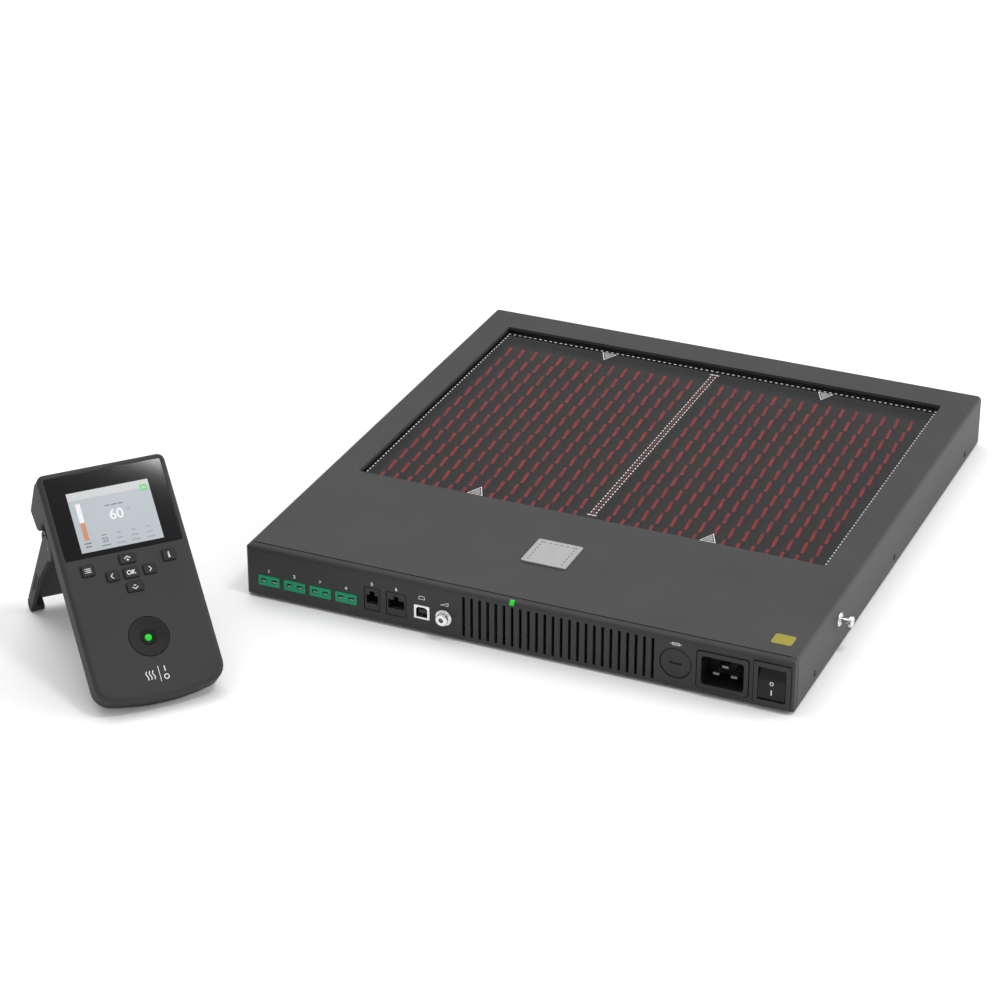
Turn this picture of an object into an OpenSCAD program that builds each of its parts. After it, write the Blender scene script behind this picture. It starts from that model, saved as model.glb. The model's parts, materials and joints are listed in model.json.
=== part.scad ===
// Bottom-side preheater for circuit boards, with its desktop console.
// The flat heater housing and the console stand side by side on one surface, z = 0.

/* [Housing] */
// Width of the heater housing
base_w = 415.5; // [400:0.5:440]
// Depth of the heater housing, front to back
base_d = 446; // [425:1:470]
// Height of the housing without its feet
base_h = 39.5; // [39.5:0.5:44]
// Height of the rubber feet below the housing
foot_h = 2; // [1.5:0.5:5]
// Diameter of a rubber foot
foot_d = 18; // [14:1:22]
// Distance of a foot's centre from the sides
foot_inset = 28; // [20:1:40]
// Thickness of the folded steel sheet
sheet = 1.5; // [1:0.1:1.8]
// Outer radius of the folds along the cover's long edges
bend_r = 3.5; // [3:0.5:6]
// Height of the tray's upturned side walls
wall_h = 30; // [29:1:33]
// Gap between fixed pieces that slip into each other
fit = 0.3; // [0.2:0.05:0.35]

/* [Heating window] */
// Width of the cover's border beside the window
window_side = 24.25; // [20:0.25:32]
// Depth of the cover's border behind the window
window_rear = 28; // [26:0.5:40]
// Distance from the front face to the window
window_front = 136; // [128:1:150]
// Height of the lip turned down around the window
lip_h = 2.4; // [2:0.1:3]
// Thickness of the gasket between lip and glass
gasket_t = 1.6; // [1:0.1:2.5]
// Thickness of the glass-ceramic plate
glass_t = 4; // [3:0.5:5]
// How far the glass reaches under the cover, past the window
glass_lap = 8; // [6:0.5:8.5]

/* [Heater] */
// Clear glass between the last ribbon and the window's side
ribbon_edge = 12; // [8:0.5:20]
// Distance between neighbouring ribbons
ribbon_pitch = 11.1; // [9:0.1:11.4]
// Distance of the first ribbon from the middle line
ribbon_start = 13.8; // [8:0.1:15]
// Length of one wave of a ribbon
ribbon_wave = 20.2; // [15:0.1:25]
// Sideways swing of a ribbon's wave
ribbon_swing = 1.5; // [0.5:0.1:2.5]
// Thickness of the ribbon's strip
ribbon_t = 0.5; // [0.3:0.1:0.8]
// Height of the ribbon's strip, set on edge
ribbon_h = 3.5; // [2:0.5:5]
// How much shorter than the window a ribbon is
ribbon_short = 34; // [30:1:60]
// Thickness of an insulation board
board_t = 18; // [14:0.5:19]
// Air gap between the ribbons and the glass
heater_gap = 3; // [2:0.5:4]

/* [Front panel] */
// Depth of the panel's rim in front of the cover
panel_d = 6; // [5:0.5:9]
// Thickness of the panel's front wall
panel_t = 3; // [2.5:0.1:3.5]
// Radius along the panel's upper front edge
panel_r = 4.5; // [2:0.5:4.5]
// Radius along the panel's lower front edge
panel_low_r = 1.2; // [0.5:0.1:2]
// Radius of the panel's upright front edges
panel_side_r = 3; // [1:0.5:4]
// Length of the panel's tongue inside the cover
tongue_l = 6; // [4:0.5:8]
// Distance between neighbouring vent slots
vent_pitch = 6.165; // [5:0.005:8]
// Width of a vent slot
vent_w = 2.2; // [1.2:0.1:2.8]
// Height of a vent slot
vent_h = 32; // [20:0.5:32]
// First vent slot's distance from the pedal jack's nut
vent_start = 8.5; // [5:0.1:15]
// Least wall between the last vent slot and the fuse cap
vent_end = 3.5; // [2:0.1:8]
// Side of the square status light
light_w = 3.4; // [2.5:0.1:5]

/* [Sockets] */
// Width of a thermocouple socket
tc_w = 17; // [16:0.2:18]
// Height of a thermocouple socket
tc_h = 8.2; // [7.6:0.2:9]
// Distance between thermocouple sockets
tc_pitch = 20.5; // [20.4:0.1:22.5]
// First thermocouple socket's centre, from the left side
tc_inset = 18.35; // [16.5:0.05:22]
// Height of the thermocouple sockets above the housing's bottom
tc_z = 13.1; // [12:0.1:16]
// Width of the narrow modular jack
jack_a_w = 11.4; // [11:0.1:12]
// Width of the wide modular jack
jack_b_w = 14.6; // [14:0.1:15.4]
// Height of the modular jacks
jack_h = 17.4; // [16.8:0.1:18.4]
// Height of the jacks' centres above the housing's bottom
jack_z = 17; // [16.5:0.1:18]
// Narrow jack's centre, from the last thermocouple socket's
jack_a_step = 20.6; // [17:0.1:24]
// Wide jack's centre, from the narrow jack's
jack_b_step = 18.9; // [15:0.1:22]
// Width of the square USB socket
usb_w = 12.1; // [11.8:0.1:12.5]
// Height of the square USB socket
usb_h = 10.9; // [10.4:0.1:11.4]
// USB socket's centre, from the wide jack's
usb_step = 19.8; // [16:0.1:22]
// Height of the USB socket's centre above the housing's bottom
usb_z = 15.2; // [14:0.1:16]
// Diameter of the pedal jack's barrel
pedal_d = 9.5; // [9:0.1:10]
// Diameter of the pedal jack's nut
pedal_nut_d = 12.6; // [12:0.1:13]
// Bore of the pedal jack
pedal_bore = 3.6; // [3:0.1:4.5]
// How far the pedal jack stands out of the panel
pedal_out = 6; // [4:0.5:9]
// Pedal jack's centre, from the USB socket's
pedal_step = 17.4; // [15:0.1:20]

/* [Mains fittings] */
// Diameter of the fuse cap
fuse_cap_d = 23.2; // [20:0.2:24]
// Diameter of the cap's stem in its holder
fuse_stem_d = 14; // [12:0.2:15]
// Fuse cap's centre, from the inlet's
fuse_step = 34.3; // [31:0.1:38]
// Width of the inlet's flange
inlet_w = 37.2; // [36:0.1:37.6]
// Height of the inlet's flange
inlet_h = 28.6; // [27.6:0.1:29.5]
// Width of the inlet's cavity
inlet_cavity_w = 30.6; // [28:0.1:31.2]
// Height of the inlet's cavity
inlet_cavity_h = 22; // [19:0.1:22.6]
// Inlet's centre, from the switch's
inlet_step = 35.6; // [32.2:0.1:40]
// Width of the rocker switch's frame
switch_w = 26.4; // [25:0.1:26.8]
// Height of the rocker switch's frame
switch_h = 32; // [30:0.1:32]
// Width of the rocker
rocker_w = 19.4; // [17:0.1:19.6]
// Radius of the rocker's ends about its pivot
rocker_r = 12.3; // [11:0.1:12.6]
// How far the rocker tips from one position to the other
rocker_tip = 22; // [16:1:24]
// Switch's centre, from the right side
switch_inset = 15.65; // [15.3:0.05:17]
// Height of fuse, inlet and switch centres above the housing's bottom
mains_z = 18.9; // [18.7:0.1:19]

/* [Outside fittings] */
// Width of the square plate on the cover
plate_w = 34.5; // [30:0.5:40]
// Thickness of the plate on the cover
plate_t = 1.5; // [1:0.1:3]
// Middle of the plate, from the front face
plate_y = 73; // [60:1:90]
// How far a side stud stands out
stud_l = 10; // [8:0.5:16]
// Diameter of a side stud's collar
stud_collar_d = 10.4; // [9:0.1:12]
// Diameter of a side stud's neck
stud_neck_d = 3.8; // [3:0.1:6]
// Diameter of a side stud's head
stud_head_d = 8; // [7:0.1:10]
// Distance of the studs from the front face
stud_y = 95; // [60:1:98]
// Height of the studs above the housing's bottom
stud_z = 23.25; // [14:0.25:25]
// Diameter of the cover screws
screw_d = 3; // [2.5:0.1:3.5]

/* [Console] */
// Width of the console
con_w = 92; // [84:0.5:100]
// Length of the console along its face
con_l = 171.5; // [160:0.5:188]
// Thickness of the console's body
con_t = 18; // [17:0.5:19]
// Depth of the rear shell's rim
rear_d = 4; // [3.5:0.5:4.5]
// Wall thickness of the shells
wall = 2.2; // [1.8:0.1:2.6]
// Radius along the face's edges
face_r = 3.5; // [2:0.5:5]
// Radius of the two upper corners
upper_r = 5; // [5:0.5:8]
// Radius of the two lower corners
lower_r = 13; // [9:0.5:18]
// Radius of the bowed lower edge
bow_r = 160; // [120:5:300]
// Depth of the hump on the console's back, from the face
hump_t = 44; // [40:0.5:48]
// Length of the hump along the back
hump_l = 28; // [26:0.5:30]
// Border beside the display window
pane_side = 4; // [3.8:0.1:6]
// Height of the display window
pane_h = 61; // [56:0.5:62]
// Thickness of the display window
pane_t = 1.3; // [1:0.1:1.5]
// Border above the display window
pane_top = 4; // [3.8:0.1:6]
// Width of the lit screen
screen_w = 58.7; // [50:0.1:60]
// Height of the lit screen
screen_h = 44; // [38:0.1:45]
// Middle of the screen below the middle of the window
screen_low = 4.8; // [0:0.1:5]
// How far the keys stand proud of the face
key_proud = 1.1; // [0.9:0.1:1.6]
// Travel of the keys and of the heat button
key_travel = 0.8; // [0.4:0.1:0.8]
// Gap around a moving key
key_gap = 0.3; // [0.25:0.05:0.4]
// Diameter of the finger dish around the heat button
dish_d = 28; // [24:0.5:30]
// Depth of the finger dish
dish_depth = 3; // [1.5:0.1:3.2]
// Diameter of the heat button
button_d = 11; // [9:0.2:12]
// Diameter of the heat button's light
lens_d = 5; // [3:0.2:6]
// Height of the heat button along the face
button_y = 43.5; // [41:0.5:46]

/* [Stand] */
// Thickness of the stand's walls
stand_t = 3; // [2.5:0.1:3.2]
// Distance of the stand's back plate from its hinge
stand_back = 10.7; // [10:0.1:12]
// Reach of the stand's side walls in front of the hinge
stand_front = 6.3; // [5:0.1:7]
// Opening angle of the stand
stand_open = 81; // [75:1:83]
// Diameter of the hinge pins
pin_d = 3; // [2.5:0.1:4]
// Radius of the stand's rubber feet
stand_foot_r = 5; // [4:0.1:5.5]

/* [Placing] */
// Housing's middle line, to the right of the origin
base_x = 62.3; // [-100:0.1:100]
// Housing's front face, from the origin
base_y = -127.5; // [-250:0.5:0]
// Console's contact with the floor, to the right of the origin
con_x = -129.7; // [-180:0.1:-80]
// Console's contact with the floor, from the origin
con_y = -283.5; // [-310:0.5:-260]
// Turn of the console about the vertical
con_turn = 47.7; // [30:0.1:60]
// Slope of the console's face
con_slope = 43.9; // [40:0.1:50]

/* [Hidden] */
$fn = 48;

// Colours
charcoal = [0.13, 0.13, 0.13];
black = [0.04, 0.04, 0.045];
steel = [0.72, 0.73, 0.75];
zinc = [0.55, 0.56, 0.58];
socket_green = [0.0, 0.45, 0.3];
gold = [0.8, 0.6, 0.2];
lamp_green = [0.1, 0.85, 0.2];
hot_red = [0.75, 0.12, 0.08];
board_green = [0.05, 0.3, 0.15];

// Running clearance of pins in their holes
run = 0.05;
// Overrun of cutters past the faces they cut
over = 1;
// Levels and places in the housing
top_z = foot_h + base_h;
tray_top = foot_h + sheet;
rear_gap = 0.5;
inner_w = base_w - 2 * (sheet + fit);
seam = 0.5;
cover_y = panel_d + seam;
rear_flange_d = 10;
rear_flange_inset = 20;
tray_back = base_d - rear_gap;
wall_front = panel_d + tongue_l + fit;
wall_back = tray_back - sheet - fit;
// Glass stack, hung under the cover
window_w = base_w - 2 * window_side;
window_d = base_d - window_front - window_rear;
window_mid = window_front + window_d / 2;
glass_top = top_z - lip_h - gasket_t;
glass_low = glass_top - glass_t;
glass_w = window_w + 2 * glass_lap;
glass_d = window_d + 2 * glass_lap;
frame_w = glass_w + 2 * (fit + sheet);
frame_d = glass_d + 2 * (fit + sheet);
// Heater stack, standing on the tray's ribs
ribbons = floor((window_w / 2 - ribbon_start - ribbon_edge) / ribbon_pitch) + 1;
ribbon_l = window_d - ribbon_short;
ribbon_z = glass_low - heater_gap - ribbon_h;
board_low = ribbon_z - board_t;
board_w = ribbon_start + (ribbons - 1) * ribbon_pitch + 8;
board_d = window_d + 8;
board_split = 3;
rib_w = 12;
rib_inset = 20;
rib_at = [for (k = [0, 0.5, 1]) window_mid - board_d / 2 + rib_inset + k * (board_d - 2 * rib_inset - rib_w)];
ribbon_front = window_front + 1;
bulkhead_y = window_front - glass_lap - sheet - fit - 8;
terminal_d = 7;
// Electronics
pcb_t = 1.6;
pcb_z = tray_top + 4;
pcb_front = 52;
pcb_back = bulkhead_y - 6;
control_x = [-base_w / 2 + 16, -20];
power_x = [10, base_w / 2 - 16];
standoff_inset = 6;
standoff_d = 6;
sink_w = 84;
sink_d = 40;
sink_fins = 12;
sink_at = [14, 8];
chip_w = 14;
chip_step = 32;
can_d = 8;
can_h = 11;
can_step = 22;
relay = [14, 18, 15];
relay_step = 20;
// Front panel
pocket_wall = 2;
tongue_w = inner_w - 2 * fit;
tongue_low = tray_top + fit;
tongue_top = top_z - sheet - fit;
tongue_r = bend_r - sheet - fit;
flange_t = 2;
flange_lap = 1.5;
// Sockets, from the left side
left_x = -base_w / 2;
right_x = base_w / 2;
jack_a_x = left_x + tc_inset + 3 * tc_pitch + jack_a_step;
jack_b_x = jack_a_x + jack_b_step;
usb_x = jack_b_x + usb_step;
pedal_x = usb_x + pedal_step;
tc_back = panel_t + 13;
tc_slot = [4.4, 3, 9];
tc_slot_x = 4.2;
tc_blade = [3.4, 1.2];
tc_blade_in = 0.3;
jack_back = panel_t + 13;
jack_depth = 11.5;
jack_wall = 1.1;
jack_sill = 5;
jack_room = 7;
jack_latch_h = 10;
jack_floor = foot_h + jack_z - jack_h / 2 + jack_sill;
jack_latch_w = 4;
jack_wire = 0.5;
jack_wire_pitch = 1.02;
usb_back = panel_t + 14;
usb_room = [8.5, 7.8];
usb_depth = 12;
usb_tongue_size = [5.7, 3.2];
pedal_z = 15.3;
pedal_shank_d = pedal_d - 1.5;
pedal_nut_t = 2.4;
pedal_depth = 9;
// Mains fittings, from the right side
switch_x = right_x - switch_inset;
inlet_x = switch_x - inlet_step;
fuse_x = inlet_x - fuse_step;
// Vent slots, as many as fit between pedal jack and fuse
vent_first = pedal_x + pedal_nut_d / 2 + vent_start;
vents = floor((fuse_x - fuse_cap_d / 2 - vent_end - vent_w / 2 - vent_first) / vent_pitch) + 1;
// Fuse
fuse_z = foot_h + mains_z;
fuse_d = 6.4;
fuse_l = 32;
fuse_hold = 6;
stem_l = 9;
holder_d = fuse_stem_d + 5;
holder_flange_d = fuse_cap_d + 5;
holder_back = panel_t + stem_l - fuse_hold + fuse_l + 1 + 2;
fuse_start = panel_t + stem_l - fuse_hold;
// Inlet
inlet_proud = 1.2;
inlet_depth = 19;
inlet_back = 26;
inlet_body_w = inlet_cavity_w + 2.4;
inlet_body_h = inlet_cavity_h + 2.4;
inlet_pin = [4.5, 1.8];
inlet_pin_tip = 5;
inlet_pin_tail = 6;
inlet_pin_at = [[0, 2.3], [-6.5, -4.3], [6.5, -4.3]];
// Switch
switch_proud = 1.5;
switch_back = 16;
switch_open_w = rocker_w + 2 * fit;
switch_open_h = 2 * (rocker_r + fit);
switch_body_w = switch_open_w + 2;
switch_body_h = switch_open_h + 3;
rocker_y = 3.4;
rocker_ridge = 5.6;
rocker_ridge_z = 2.2;
trunnion_d = 3;
trunnion_l = 0.7;
// Outside fittings
screw_z = foot_h + 6.5;
screw_at = [45, (45 + base_d - 38) / 2, base_d - 38];
screw_head_d = screw_d + 2;
screw_head_t = 0.8;
stud_hole_d = 6;
stud_collar_t = 1.2;
stud_head_t = 2.4;
foot_plug_d = 4;

// Console, in its own frame: x across, y up the face, z out of the face
shell_d = con_t - rear_d;
part_z = -shell_d;
back_z = -con_t;
rear_r = 3;
pane_w = con_w - 2 * pane_side;
pane_y = con_l - pane_top - pane_h / 2;
pane_seat = pane_t + 0.1;
pane_fit = 0.15;
screen_y = pane_y - screen_low;
panel_lap = 4;
panel_thick = 3;
con_pcb_z = -9;
con_pcb_gap = 1.2;
key_row = pane_y - pane_h / 2 - 16.5;
key_step = [13.2, 10.3];
side_key = [con_w / 2 - 17, key_row + 7.2];
key_flange = 0.8;
key_flange_t = 0.8;
key_r = 1;
key_edge = 0.4;
key_stem_d = 3;
boss_d = 6;
boss_bore = 2.6;
con_screw_d = 2.4;
con_screw_head = [4.6, 1.3];
con_screw_at = [for (s = [-1, 1], at = [[12, 20], [9, key_row + 14.2]]) [s * (con_w / 2 - at[0]), at[1]]];
con_post_at = [for (s = [-1, 1], at = [[20, 22], [15, key_row + 11], [con_w / 2 - 8.5, con_l - 10.5]])
  [s * at[0], at[1]]];
post_sunk = 0.3;
con_post_d = 5;
dish_r = (pow(dish_d / 2, 2) + dish_depth * dish_depth) / (2 * dish_depth);
dish_boss_d = dish_d + 5;
dish_floor = -dish_depth - 2.3;
button_top = -dish_depth + 0.6;
button_flange_t = 1;
hump_low = con_l - hump_l;
hump_w = con_w - 1;
hump_r = 2.5;
hinge_drop = 16.5;
hinge = [hump_low - hinge_drop, back_z - 9];
head_r = 9;
lug_d = 12;
lug_w = 5.5;
stand_w = con_w - 1.6;
stand_in = stand_w / 2 - stand_t;
lug_out = stand_in - fit;
notch = [hump_low - 32, hump_low];
notch_ledge = 3;
foot_back = stand_back - stand_foot_r;
stand_foot_l = 9.5;
stand_foot_cut = 3.5;
stand_rim = 8.7;
stop_reach = hinge_drop - fit;
slit = [26, 1.4];
// Height of the lowest point of the rounded lower end
con_drop = rear_r * (sin(con_slope) + cos(con_slope) - 1);
// Length of the leg that brings its feet to the floor
leg_rise = sin(con_slope) * (hinge[0] + foot_back * sin(stand_open))
  + cos(con_slope) * (hinge[1] + con_t - foot_back * cos(stand_open)) - con_drop - stand_foot_r;
leg_l = leg_rise / sin(con_slope + stand_open);

// Shared shapes

// Moves its children to the housing's place.
module at_base() {
  translate([base_x, base_y, 0]) children();
}

// Lays its children, drawn flat, against the leaning console.
module at_console() {
  translate([con_x, con_y, -con_drop]) rotate([con_slope, 0, con_turn]) translate([0, 0, con_t]) children();
}

// Rectangle with round corners about its middle.
module round_rect(w, h, r) {
  square([w - 2 * r, h], center = true);
  square([w, h - 2 * r], center = true);
  for (sx = [-1, 1], sy = [-1, 1])
    translate([sx * (w / 2 - r), sy * (h / 2 - r)]) circle(r);
}

// Upright outline with two round upper corners, its base on y = 0.
module arch(w, h, r) {
  translate([-w / 2, 0]) square([w, h - r]);
  translate([-w / 2 + r, 0]) square([w - 2 * r, h]);
  for (s = [-1, 1])
    translate([s * (w / 2 - r), h - r]) circle(r);
}

// Extrudes a front outline from y0 back to y1.
module along_y(y0, y1) {
  translate([0, y1, 0]) rotate([90, 0, 0]) linear_extrude(y1 - y0) children();
}

// Extrudes an outline drawn in y and z across the width w.
module across(w) {
  rotate([90, 0, 90]) translate([0, 0, -w / 2]) linear_extrude(w) children();
}

// Rectangular ring around the window's middle.
module window_ring(outer_w, outer_d, inner_w, inner_d, z0, z1) {
  translate([0, window_mid, z0]) linear_extrude(z1 - z0) difference() {
    square([outer_w, outer_d], center = true);
    square([inner_w, inner_d], center = true);
  }
}

// Block through the front panel, centred on x and on z above the housing's bottom.
module port(x, z, w, h, y0, y1, r = 0.5) {
  along_y(y0, y1) translate([x, foot_h + z]) round_rect(w, h, r);
}

// Bore or rod along y.
module rod_y(x, z, d, y0, y1) {
  along_y(y0, y1) translate([x, z]) circle(d = d);
}

// Rods through both sides of the housing.
module side_rods(y, z, d) {
  for (s = [-1, 1])
    translate([s * base_w / 2, y, z]) rotate([0, 90, 0]) cylinder(d = d, h = 8 * sheet, center = true);
}

// Housing

module cover_section() {
  difference() {
    translate([0, foot_h]) arch(base_w, base_h, bend_r);
    translate([0, foot_h - over]) arch(base_w - 2 * sheet, base_h - sheet + over, bend_r - sheet);
  }
}

module top_cover() color(charcoal) at_base() {
  difference() {
    along_y(cover_y, base_d) cover_section();
    translate([0, window_mid, top_z]) cube([window_w, window_d, 4 * sheet], center = true);
    for (y = screw_at) side_rods(y, screw_z, screw_d + 2 * run);
    side_rods(stud_y, foot_h + stud_z, stud_hole_d + 2 * run);
  }
  window_ring(window_w + 2 * sheet, window_d + 2 * sheet, window_w, window_d,
    top_z - lip_h, top_z - sheet / 2);
}

module base_tray() color(zinc) at_base() difference() {
  union() {
    translate([-inner_w / 2, cover_y, foot_h]) cube([inner_w, tray_back - cover_y, sheet]);
    for (s = [-1, 1])
      translate([s * (inner_w / 2 - sheet / 2) - sheet / 2, wall_front, foot_h])
        cube([sheet, wall_back - wall_front, wall_h]);
    for (y = rib_at)
      translate([-board_w, y, foot_h]) cube([2 * board_w, rib_w, board_low - foot_h]);
  }
  for (y = rib_at)
    translate([-board_w + sheet, y + sheet, foot_h - over])
      cube([2 * (board_w - sheet), rib_w - 2 * sheet, board_low - foot_h - sheet + over]);
  for (y = screw_at) side_rods(y, screw_z, screw_d + 2 * run);
  side_rods(stud_y, foot_h + stud_z, stud_hole_d + 2 * run);
  feet_places() translate([0, 0, foot_h - over]) cylinder(d = foot_plug_d + 2 * run, h = sheet + 2 * over);
}

module feet_places() {
  for (x = [-1, 1], y = [foot_inset + panel_d, base_d - foot_inset])
    translate([x * (base_w / 2 - foot_inset), y, 0]) children();
}

module rubber_feet() color(black) at_base() feet_places() rotate_extrude() polygon([
  [0, 0], [foot_d / 2 - 1, 0], [foot_d / 2, 1], [foot_d / 2, foot_h], [foot_plug_d / 2, foot_h],
  [foot_plug_d / 2, tray_top], [foot_plug_d / 2 + 1, tray_top], [foot_plug_d / 2, tray_top + 2],
  [0, tray_top + 2]
]);

module rear_panel() color(charcoal) at_base() {
  translate([-inner_w / 2, tray_back - sheet, tray_top])
    cube([inner_w, sheet, top_z - sheet - fit - tray_top]);
  translate([-inner_w / 2 + rear_flange_inset, tray_back - rear_flange_d, tray_top])
    cube([inner_w - 2 * rear_flange_inset, rear_flange_d, sheet]);
}

module heater_glass() color([0.1, 0.1, 0.11]) at_base()
  translate([0, window_mid, glass_low]) linear_extrude(glass_t) round_rect(glass_w, glass_d, 3);

module glass_gasket() color(black) at_base()
  window_ring(glass_w, glass_d, window_w + 1, window_d + 1, glass_top, glass_top + gasket_t);

// Angle frame welded under the cover, with a ledge that carries the glass.
module glass_frame() color(zinc) at_base() {
  window_ring(frame_w, frame_d, window_w + 2, window_d + 2, glass_low - sheet, glass_low);
  window_ring(frame_w, frame_d, glass_w + 2 * fit, glass_d + 2 * fit, glass_low - sheet / 2, top_z - sheet);
}

// Insulation board of one zone; side is -1 or 1.
module insulation(side) color([0.3, 0.3, 0.29]) at_base()
  translate([side * (board_w + board_split) / 2, window_mid, board_low]) linear_extrude(board_t)
    round_rect(board_w - board_split, board_d, 2);

module insulation_left() insulation(-1);
module insulation_right() insulation(1);

// One strip on edge, folded into waves, running back from its front end.
module ribbon() {
  n = round(2 * ribbon_l / ribbon_wave);
  step = ribbon_l / n;
  linear_extrude(ribbon_h) polygon(concat(
    [for (i = [0:n]) [ribbon_swing * (i % 2 == 0 ? -1 : 1) - ribbon_t / 2, i * step]],
    [for (i = [n:-1:0]) [ribbon_swing * (i % 2 == 0 ? -1 : 1) + ribbon_t / 2, i * step]]
  ));
}

module ribbon_set(side) color(hot_red) at_base()
  for (i = [0:ribbons - 1])
    translate([side * (ribbon_start + i * ribbon_pitch), ribbon_front, ribbon_z]) ribbon();

module ribbons_left() ribbon_set(-1);
module ribbons_right() ribbon_set(1);

// Ceramic blocks where the ribbons' ends leave the boards.
module heater_terminals() color([0.85, 0.83, 0.78]) at_base()
  for (s = [-1, 1], k = [0.25, 0.75])
    translate([s * k * board_w, ribbon_front - terminal_d - ribbon_t, ribbon_z]) difference() {
      translate([-8, 0, 0]) cube([16, terminal_d, ribbon_h]);
      for (x = [-4, 4])
        translate([x, terminal_d / 2, -over]) cylinder(d = 2.5, h = ribbon_h + 2 * over);
    }

module bulkhead() color(zinc) at_base() {
  bulk_w = inner_w - 2 * sheet - 2 * fit;
  translate([-bulk_w / 2, bulkhead_y, tray_top]) cube([bulk_w, sheet, top_z - sheet - fit - tray_top]);
  translate([-bulk_w / 2, bulkhead_y - 4, tray_top]) cube([bulk_w, 4 + sheet, sheet]);
}

// Electronics

module standoff_places() {
  for (span = [control_x, power_x], x = [span[0] + standoff_inset, span[1] - standoff_inset],
       y = [pcb_front + standoff_inset, pcb_back - standoff_inset])
    translate([x, y, 0]) children();
}

module pcb(span) {
  difference() {
    translate([span[0], pcb_front, pcb_z]) cube([span[1] - span[0], pcb_back - pcb_front, pcb_t]);
    standoff_places() translate([0, 0, pcb_z - over]) cylinder(d = 3.2, h = pcb_t + 2 * over);
  }
}

module control_board() color(board_green) at_base() {
  pcb(control_x);
  pcb_top = pcb_z + pcb_t;
  for (i = [0:3])
    translate([control_x[0] + 24 + i * chip_step, pcb_front + 14, pcb_top]) cube([chip_w, chip_w, 2]);
  for (i = [0:5])
    translate([control_x[0] + 20 + i * can_step, pcb_back - 14, pcb_top]) cylinder(d = can_d, h = can_h);
}

module power_board() color(board_green) at_base() {
  pcb(power_x);
  pcb_top = pcb_z + pcb_t;
  for (i = [1:3])
    translate([power_x[1] - i * relay_step, pcb_back - relay[1] - 8, pcb_top]) cube(relay);
}

module heatsink() color(steel) at_base()
  translate([power_x[0] + sink_at[0], pcb_back - sink_d - sink_at[1], pcb_z + pcb_t]) {
    cube([sink_w, sink_d, 4]);
    for (i = [0:sink_fins - 1])
      translate([i * (sink_w - 2) / (sink_fins - 1), 0, 0]) cube([2, sink_d, 20]);
  }

module board_standoffs() color(steel) at_base() standoff_places() translate([0, 0, tray_top]) {
  cylinder(d = standoff_d, h = pcb_z - tray_top);
  cylinder(d = 3.1, h = pcb_z - tray_top + pcb_t);
}

// Front panel and its sockets

// Side view of the panel's block: x up from the bottom, y forward from the seam.
module panel_profile() {
  square([base_h, panel_d - panel_r]);
  square([base_h - panel_r, panel_d - panel_low_r]);
  translate([panel_low_r, 0]) square([base_h - panel_low_r - panel_r, panel_d]);
  translate([panel_low_r, panel_d - panel_low_r]) circle(panel_low_r);
  translate([base_h - panel_r, panel_d - panel_r]) circle(panel_r);
}

// Outer block of the panel, rounded on every front edge.
module panel_block() {
  intersection() {
    along_y(0, panel_d) translate([0, foot_h]) arch(base_w, base_h, bend_r);
    across(base_w) translate([panel_d, foot_h]) rotate(90) panel_profile();
    translate([0, panel_d, foot_h]) linear_extrude(base_h)
      mirror([0, 1]) arch(base_w, panel_d, panel_side_r);
  }
}

module panel_tongue() {
  along_y(panel_d - over, panel_d + tongue_l)
    translate([0, tongue_low]) arch(tongue_w, tongue_top - tongue_low, tongue_r);
}

module panel_pocket() {
  along_y(panel_t, panel_d + tongue_l + over)
    translate([0, tongue_low + pocket_wall])
      arch(tongue_w - 2 * pocket_wall, tongue_top - tongue_low - 2 * pocket_wall, tongue_r - 1);
}

function tc_x(i) = left_x + tc_inset + (i - 1) * tc_pitch;

module port_holes() {
  for (i = [1:4]) port(tc_x(i), tc_z, tc_w + 2 * fit, tc_h + 2 * fit, -over, panel_t + over, 1);
  port(jack_a_x, jack_z, jack_a_w + 2 * fit, jack_h + 2 * fit, -over, panel_t + over);
  port(jack_b_x, jack_z, jack_b_w + 2 * fit, jack_h + 2 * fit, -over, panel_t + over);
  port(usb_x, usb_z, usb_w + 2 * fit, usb_h + 2 * fit, -over, panel_t + over);
  port(inlet_x, mains_z, inlet_body_w + 2 * fit, inlet_body_h + 2 * fit, -over, panel_t + over, 2);
  port(switch_x, mains_z, switch_body_w + 2 * fit, switch_body_h + 2 * fit, -over, panel_t + over);
  rod_y(pedal_x, foot_h + pedal_z, pedal_shank_d + 2 * fit, -over, panel_t + over);
  rod_y(fuse_x, fuse_z, fuse_cap_d + 2 * fit, -over, panel_t + over);
}

module vent_slots() {
  along_y(-over, panel_t + over)
    for (i = [0:vents - 1])
      translate([vent_first + i * vent_pitch, foot_h + mains_z])
        round_rect(vent_w, vent_h, vent_w / 2 - 0.1);
}

module light_box(gap) {
  translate([-light_w / 2 - gap, -over, top_z - light_w - gap])
    cube([light_w + 2 * gap, panel_t + over + gap, light_w + over]);
}

module connector_panel() color(charcoal) at_base() difference() {
  union() {
    panel_block();
    panel_tongue();
  }
  panel_pocket();
  port_holes();
  vent_slots();
  light_box(run);
}

module status_light() color(lamp_green) at_base() intersection() {
  panel_block();
  light_box(0);
}

// Flat-pin socket with two slots and a flange behind the panel.
module tc_socket(i) color(socket_green) at_base() difference() {
  union() {
    port(tc_x(i), tc_z, tc_w, tc_h, -0.4, tc_back, 0.8);
    port(tc_x(i), tc_z, tc_w + 2 * flange_lap, tc_h + 2 * flange_lap, panel_t, panel_t + flange_t);
  }
  for (s = [-1, 1])
    port(tc_x(i) + s * tc_slot_x, tc_z, tc_slot[0], tc_slot[1], -over, tc_slot[2], 0.3);
}

module tc_socket_1() tc_socket(1);
module tc_socket_2() tc_socket(2);
module tc_socket_3() tc_socket(3);
module tc_socket_4() tc_socket(4);

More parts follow.
